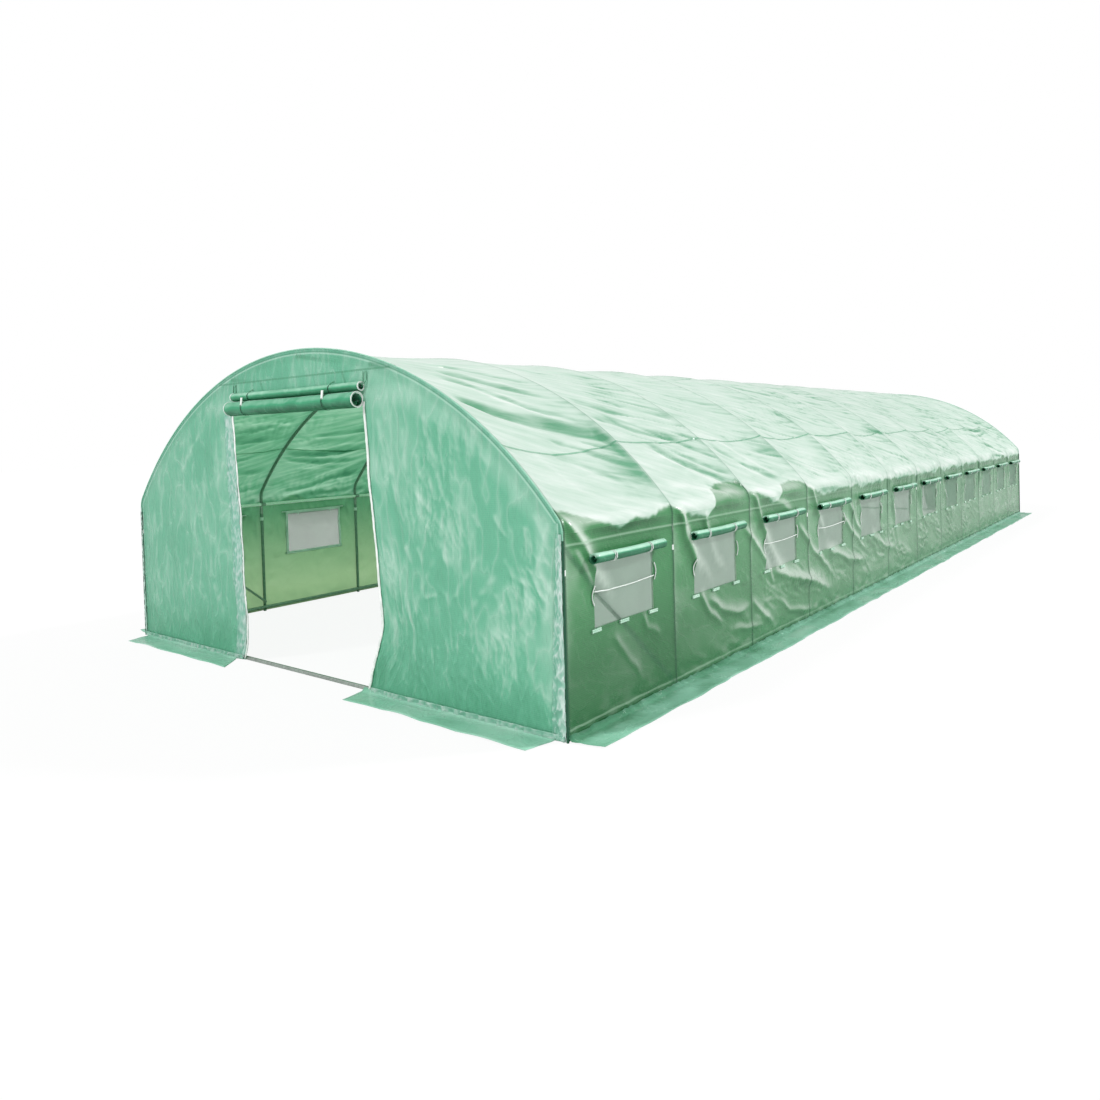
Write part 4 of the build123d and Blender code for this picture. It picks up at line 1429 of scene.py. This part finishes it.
# Rolled doors and their rolled screens, with the pale edges of their ends, straps, cords and buckles
strap_places = (-0.45, 0.38)
for name, end in (("front", -1), ("back", 1)):
    straps, buckles, door_cords, roll_ends, roll_parts = [], [], [], [], []
    outward = Vector((0, end, 0))
    places = [end * -place for place in strap_places]
    around, lengthwise = (72, 60) if end < 0 else (40, 30)
    for part, turns, core, seed, loose, gleam in (
        ("door", 2.0, 0.010, 301, 0.005, (0.12, 0.52, -0.70, 0.55)),
        ("screen", 1.75, 0.007, 311, 0.001, (0.20, 0.66, -0.50, 0.60)),
    ):
        low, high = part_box(f"{name}_{part}_roll")
        outer = (high.z - low.z) / 2
        reach = end * (max(abs(low.y), abs(high.y)) - outer + loose)
        centre = Vector((0, reach, (low.z + high.z) / 2 - loose))
        outer += loose
        length = high.x - low.x
        place = roll_place(
            centre, Vector((1, 0, 0)), outward, length, outer, core, turns, seed + end, places, 0.003, gleam
        )
        mesh = roll_mesh(f"{name}_rolled_{part}", place, length, turns, around, lengthwise)
        turn = np.linspace(2 * math.pi * (turns - 1.5), 2 * math.pi * turns, 40)
        for way in (-1, 1):
            rim = place(np.full(40, way * (length / 2 + 0.001)), turn)[0]
            roll_ends.append([tuple(point) for point in rim])
        nodes = [f"{name}_{part}_roll"]
        roll = add_piece(f"{name}_rolled_{part}", mesh, [roll_green], nodes)
        thicken(roll, 0.004)
        roll_parts.append((centre, outer))
        for x in places:
            at = centre + Vector((x, 0, -0.003))
            straps.append(ring_mesh("strap", at, outward, Vector((0, 0, 1)), outer + 0.001, 0.005))
    (door_centre, door_outer), (screen_centre, screen_outer) = roll_parts
    front = end * (gable_y + 0.004)
    for x in places:
        door_cords.append([
            (x, front, header_z - 0.02), (x + 0.003, front, header_z - 0.05),
            (x, screen_centre.y + end * screen_outer * 0.5, screen_centre.z + screen_outer),
        ])
        at = (x, door_centre.y + end * door_outer * 0.80, door_centre.z + door_outer * 0.88)
        buckles.append(buckle_mesh(at, end * 0.12))
    strap_piece = add_piece(f"{name}_door_straps", joined("straps", straps), [corner_film])
    thicken(strap_piece, 0.0018, 1.0)
    front = end * (gable_y + 0.010)
    for way in (-1, 1):
        reach = way * (door_side + 0.004)
        for shift in (-0.012, 0.012):
            door_cords.append([
                (reach + shift, front, header_z - 0.01), (reach + shift * 1.3, front, header_z - 0.06),
                (reach + shift * 0.4, screen_centre.y, screen_centre.z + screen_outer * 0.3),
            ])
    add_piece(f"{name}_roll_ends", tube_mesh("ends", roll_ends, 0.0042, 1), [white_tape])
    add_piece(f"{name}_door_buckles", joined("buckles", buckles), [white_plastic])
    add_piece(f"{name}_door_cords", tube_mesh("cords", door_cords, 0.0030, 1), [cord_green])


# End trims: zips and doubled strips at the doorway, hems at the corners and the foot, piping round the hoop
for name, end, fine in (("front", -1, 1.0), ("back", 1, 0.6)):
    def gable_strip(
        label, way, near, far, heights, wide, tall, lift, crinkle, material, seed, taper=1.0
    ):
        """Strip laid on one side of the end film, its inner edge tapering upwards."""
        low_x, high_x = sorted((way * near, way * far))
        low_z, high_z = heights

        def place(x, z):
            narrow = taper + (1 - taper) * (high_z - z) / (high_z - low_z)
            x = np.sign(x) * (far - (far - np.abs(x)) * narrow)
            rumple = noise(x / 0.024, z / 0.036, seed + way)
            pad = crinkle * (0.5 + 0.5 * rumple + creases(z, x, 0.05, 0.018, seed + way + 1))
            inward = smooth(0, 0.05, far - np.abs(x))
            paler = 0.4 * inward if taper == 1 else 1 - inward
            # Painted highlight: raised crinkles paler, and the strip paler towards one edge
            fold = np.clip(0.16 + 0.36 * pad / crinkle + 0.30 * paler, 0, 1)
            return gable_point(x, z, end, lift + pad)[0], np.stack([x, z], axis=1), {"fold": fold}

        columns = list(np.linspace(low_x, high_x, wide + 1) * -end)
        rows = list(np.linspace(low_z, high_z, round(tall * fine) + 1))
        strip = add_piece(f"{name}_{label}", grid_mesh(label, columns, rows, place), [material])
        thicken(strip, 0.0012, 1.0)

    for side_name, way in (("left", -1), ("right", 1)):
        gable_strip(
            f"zip_{side_name}", way, door_side - 0.004, door_side + 0.014, (0.012, door_head), 2, 90,
            0.002, 0.0022, white_tape, 401,
        )
        if way < 0:
            gable_strip(
                f"doubled_edge_{side_name}", way, door_side + 0.014, door_side + 0.115,
                (0.02, door_head - 0.02), 14, 130, 0.001, 0.005, doubled_film, 411,
            )
        broad = 0.085 if way > 0 else 0.030
        gable_strip(
            f"corner_hem_{side_name}", way, wall_x - broad, wall_x - 0.004, (foot, bend_z), 16, 190,
            0.0015, 0.005, hem_film, 421, 0.35,
        )
        gable_strip(
            f"foot_hem_{side_name}", way, door_side + 0.02, wall_x - 0.01, (foot, 0.034), 90, 4,
            0.003, 0.007, hem_film, 431,
        )
    route = hoop_route(end * (gable_y + 0.001), film_offset + 0.001, bend_z - 0.03)
    piping = tube_mesh(f"{name}_piping", [route], 0.0036, 2)
    add_piece(f"{name}_piping", piping, [edge_tape])
    # Painted shade: a dark tube at each corner stands for the film in shade where it wraps the corner post
    corners = [
        [(way * (wall_x + 0.001), end * (gable_y + 0.001), z) for z in (foot - 0.012, bend_z - 0.03)]
        for way in (-1, 1)
    ]
    add_piece(f"{name}_corner_piping", tube_mesh("corner", corners, 0.0065, 2), [corner_film])


def slack_seam(y, s):
    """How far a roof seam hangs down the film between hoops."""
    side, up, run = from_end(y, s)
    t = np.mod(run, bay) / bay
    return -side * 4 * t * (1 - t) * (0.014 + 0.024 * (run < bay) + 0.010 * noise(run / 0.9, 2.0, 502))


# Sewn seams along the roof: a doubled strip a little proud of the film
seam_width = 0.012
for name, columns in side_columns.items():
    rows = steps(seam_s - seam_width / 2, 2, seam_s + seam_width / 2)
    rows = rows if name == "right" else other_side(rows)
    mesh = skin_mesh("seam", columns, rows, 0.0016, None, slack_seam)
    seam = add_piece(f"roof_seam_{name}", mesh, [seam_film])


# Flaps on the ground
def flap_mesh(name, points_of, wide, long):
    return grid_mesh(name, list(np.linspace(0, 1, wide + 1)), list(np.linspace(0, 1, long + 1)), points_of)


skirt_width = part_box("side_skirts")[1].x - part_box("side_cover_right")[0].x
skirt_mitre = 0.040
for name, side in (("left", -1), ("right", 1)):
    def side_flap(u, v):
        y_reach = gable_y - skirt_mitre * u
        y = (2 * v - 1) * y_reach * side
        wave = 0.012 * noise(y / 0.45, u * 1.5 + 3, 601) * u
        x = side * (wall_x - 0.002 + u * (skirt_width - 0.004 + wave))
        waves = 0.010 * noise(y / 0.28, u * 1.2, 607)
        gathers = creases(u, y, 0.6, 0.07, 611)
        folds = waves + 0.006 * gathers * (1 - u)
        tuck = 0.020 * (1 - smooth(0, 0.14, u)) + 0.008 * gathers * (1 - smooth(0.2, 0.8, u))
        z = 0.003 + np.abs(waves) * smooth(0.05, 0.5, u) + tuck
        run = half_length + side * y
        # Painted shadow next to the wall's foot near the front, darker towards the front end, and raised
        # waves painted paler as highlights
        dark = 0.36 * smooth(0.5, 0.05, u) * smooth(7, 1, run) + 0.14 * smooth(3, 0.5, run)
        shade = 0.44 + 25 * folds - dark
        return np.stack([x, y, z], axis=1), np.stack([x, y], axis=1), {"fold": np.clip(shade, 0, 1)}

    mesh = flap_mesh("flap", side_flap, 9, 420 if side > 0 else 260)
    nodes = ["side_skirts"] if side > 0 else []
    flap = add_piece(f"side_flap_{name}", mesh, [skirt_film], nodes)
    thicken(flap, 0.0015)

for end_name, end in (("front", -1), ("back", 1)):
    for name, side in (("left", -1), ("right", 1)):
        shifts = (0.10, -0.055) if side * end > 0 else (-0.10, -0.06)
        inner = (door_side + shifts[0], door_side + shifts[1])
        outer = (wall_x - 0.060, wall_x - 0.100)

        def end_flap(u, v):
            low_x = inner[0] + (inner[1] - inner[0]) * u
            high_x = outer[0] + (outer[1] - outer[0]) * u
            x = low_x + (high_x - low_x) * v
            wave = 0.010 * noise(x / 0.4, u * 1.5 + 3, 621 + side) * u
            y = gable_y - 0.002 + u * (skirt_width - 0.004 + wave)
            folds = 0.010 * noise(x / 0.3, u * 1.2, 627 + side)
            z = 0.003 + np.abs(folds) * smooth(0.05, 0.5, u) + 0.018 * (1 - smooth(0, 0.14, u))
            # Raised waves painted paler as highlights, hollows darker as painted shade
            fold = np.clip(0.50 + 25 * folds, 0, 1)
            return np.stack([side * x, end * y, z], axis=1), np.stack([x, y], axis=1), {"fold": fold}

        mesh = flap_mesh("flap", end_flap, 9, 60)
        if side * end > 0:
            mesh.flip_normals()
        nodes = ["end_skirts"] if side > 0 and end < 0 else []
        flap = add_piece(f"{end_name}_flap_{name}", mesh, [skirt_film], nodes)
        thicken(flap, 0.0015)

# Straight tubes keep their CAD shape
pale_tubes = ("eave_rails", "side_purlins", "ridge_purlin")
for name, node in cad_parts.items():
    if not node.hide_render:
        node.data.materials.clear()
        node.data.materials.append(rail_zinc if name in pale_tubes else zinc)


def floor_and_light():
    mesh = bpy.data.meshes.new("studio_floor")
    bm = bmesh.new()
    bmesh.ops.create_grid(bm, x_segments=1, y_segments=1, size=60)
    bm.to_mesh(mesh)
    bm.free()
    floor = bpy.data.objects.new("studio_floor", mesh)
    bpy.context.scene.collection.objects.link(floor)
    tree = material_tree("studio_white")
    rays = tree.add("ShaderNodeLightPath").outputs
    seen = tree.math("MAXIMUM", rays["Is Camera Ray"], rays["Is Transmission Ray"])
    matt = tree.add("ShaderNodeBsdfDiffuse")
    matt.inputs["Color"].default_value = (0.86, 0.86, 0.86, 1)
    white = tree.add("ShaderNodeEmission")
    white.inputs["Color"].default_value = (1, 1, 1, 1)
    shown = tree.mix_shaders(tree.times(seen, 0.91), matt.outputs[0], white.outputs[0])
    mesh.materials.append(finish_material(tree, shown))

    world = bpy.data.worlds.new("studio")
    bpy.context.scene.world = world
    world.use_nodes = True
    world.node_tree.nodes.clear()
    sky = Tree(world.node_tree)
    rays = sky.add("ShaderNodeLightPath").outputs
    seen = sky.math("MAXIMUM", rays["Is Camera Ray"], rays["Is Glossy Ray"])
    seen = sky.math("MAXIMUM", seen, rays["Is Transmission Ray"])
    glow = sky.add("ShaderNodeBackground")
    glow.inputs["Color"].default_value = (1, 1, 1, 1)
    less_glossy = sky.times(rays["Is Glossy Ray"], -0.4)
    sky.feed(sky.add_up(sky.times(seen, 0.3), less_glossy, 0.7), glow.inputs["Strength"])
    output = sky.add("ShaderNodeOutputWorld")
    sky.feed(glow.outputs[0], output.inputs["Surface"])

    for name, energy, size, place in (
        ("key_sun", 1.7, 0.15, (-4.0, -9.0, 8.0)),
        ("back_sun", 2.3, 0.12, (7.5, 9.0, 7.5)),
    ):
        lamp = bpy.data.lights.new(name, "SUN")
        lamp.energy = energy
        lamp.angle = size
        light = bpy.data.objects.new(name, lamp)
        bpy.context.scene.collection.objects.link(light)
        light.location = place
        light.rotation_mode = "QUATERNION"
        light.rotation_quaternion = (-Vector(place)).to_track_quat("-Z", "Y")


def photo_camera():
    """Camera at the photograph's place, fitted to the object's corners in the 1100 pixel frame."""
    frame_pixels = 1100.0
    focal_pixels = 831.56
    centre_row = 456.51
    eye = Vector((4.346, -9.050, 1.424))
    yaw, pitch, roll = (math.radians(angle) for angle in (38.208, 1.36, -1.595))
    ahead = Vector((-math.sin(yaw) * math.cos(pitch), math.cos(yaw) * math.cos(pitch), -math.sin(pitch)))
    right = Vector((math.cos(yaw), math.sin(yaw), 0))
    up = right.cross(ahead)
    turned_right = right * math.cos(roll) + up * math.sin(roll)
    turned_up = up * math.cos(roll) - right * math.sin(roll)
    data = bpy.data.cameras.new("photo_camera")
    data.sensor_width = 36.0
    data.lens = focal_pixels / frame_pixels * data.sensor_width
    data.shift_y = (centre_row - frame_pixels / 2) / frame_pixels
    data.clip_end = 200.0
    camera = bpy.data.objects.new("photo_camera", data)
    bpy.context.scene.collection.objects.link(camera)
    turned = Matrix((turned_right, turned_up, -ahead)).transposed().to_4x4()
    camera.matrix_world = Matrix.Translation(eye) @ turned
    bpy.context.scene.camera = camera


floor_and_light()
photo_camera()
bpy.context.scene.view_settings.view_transform = "Standard"
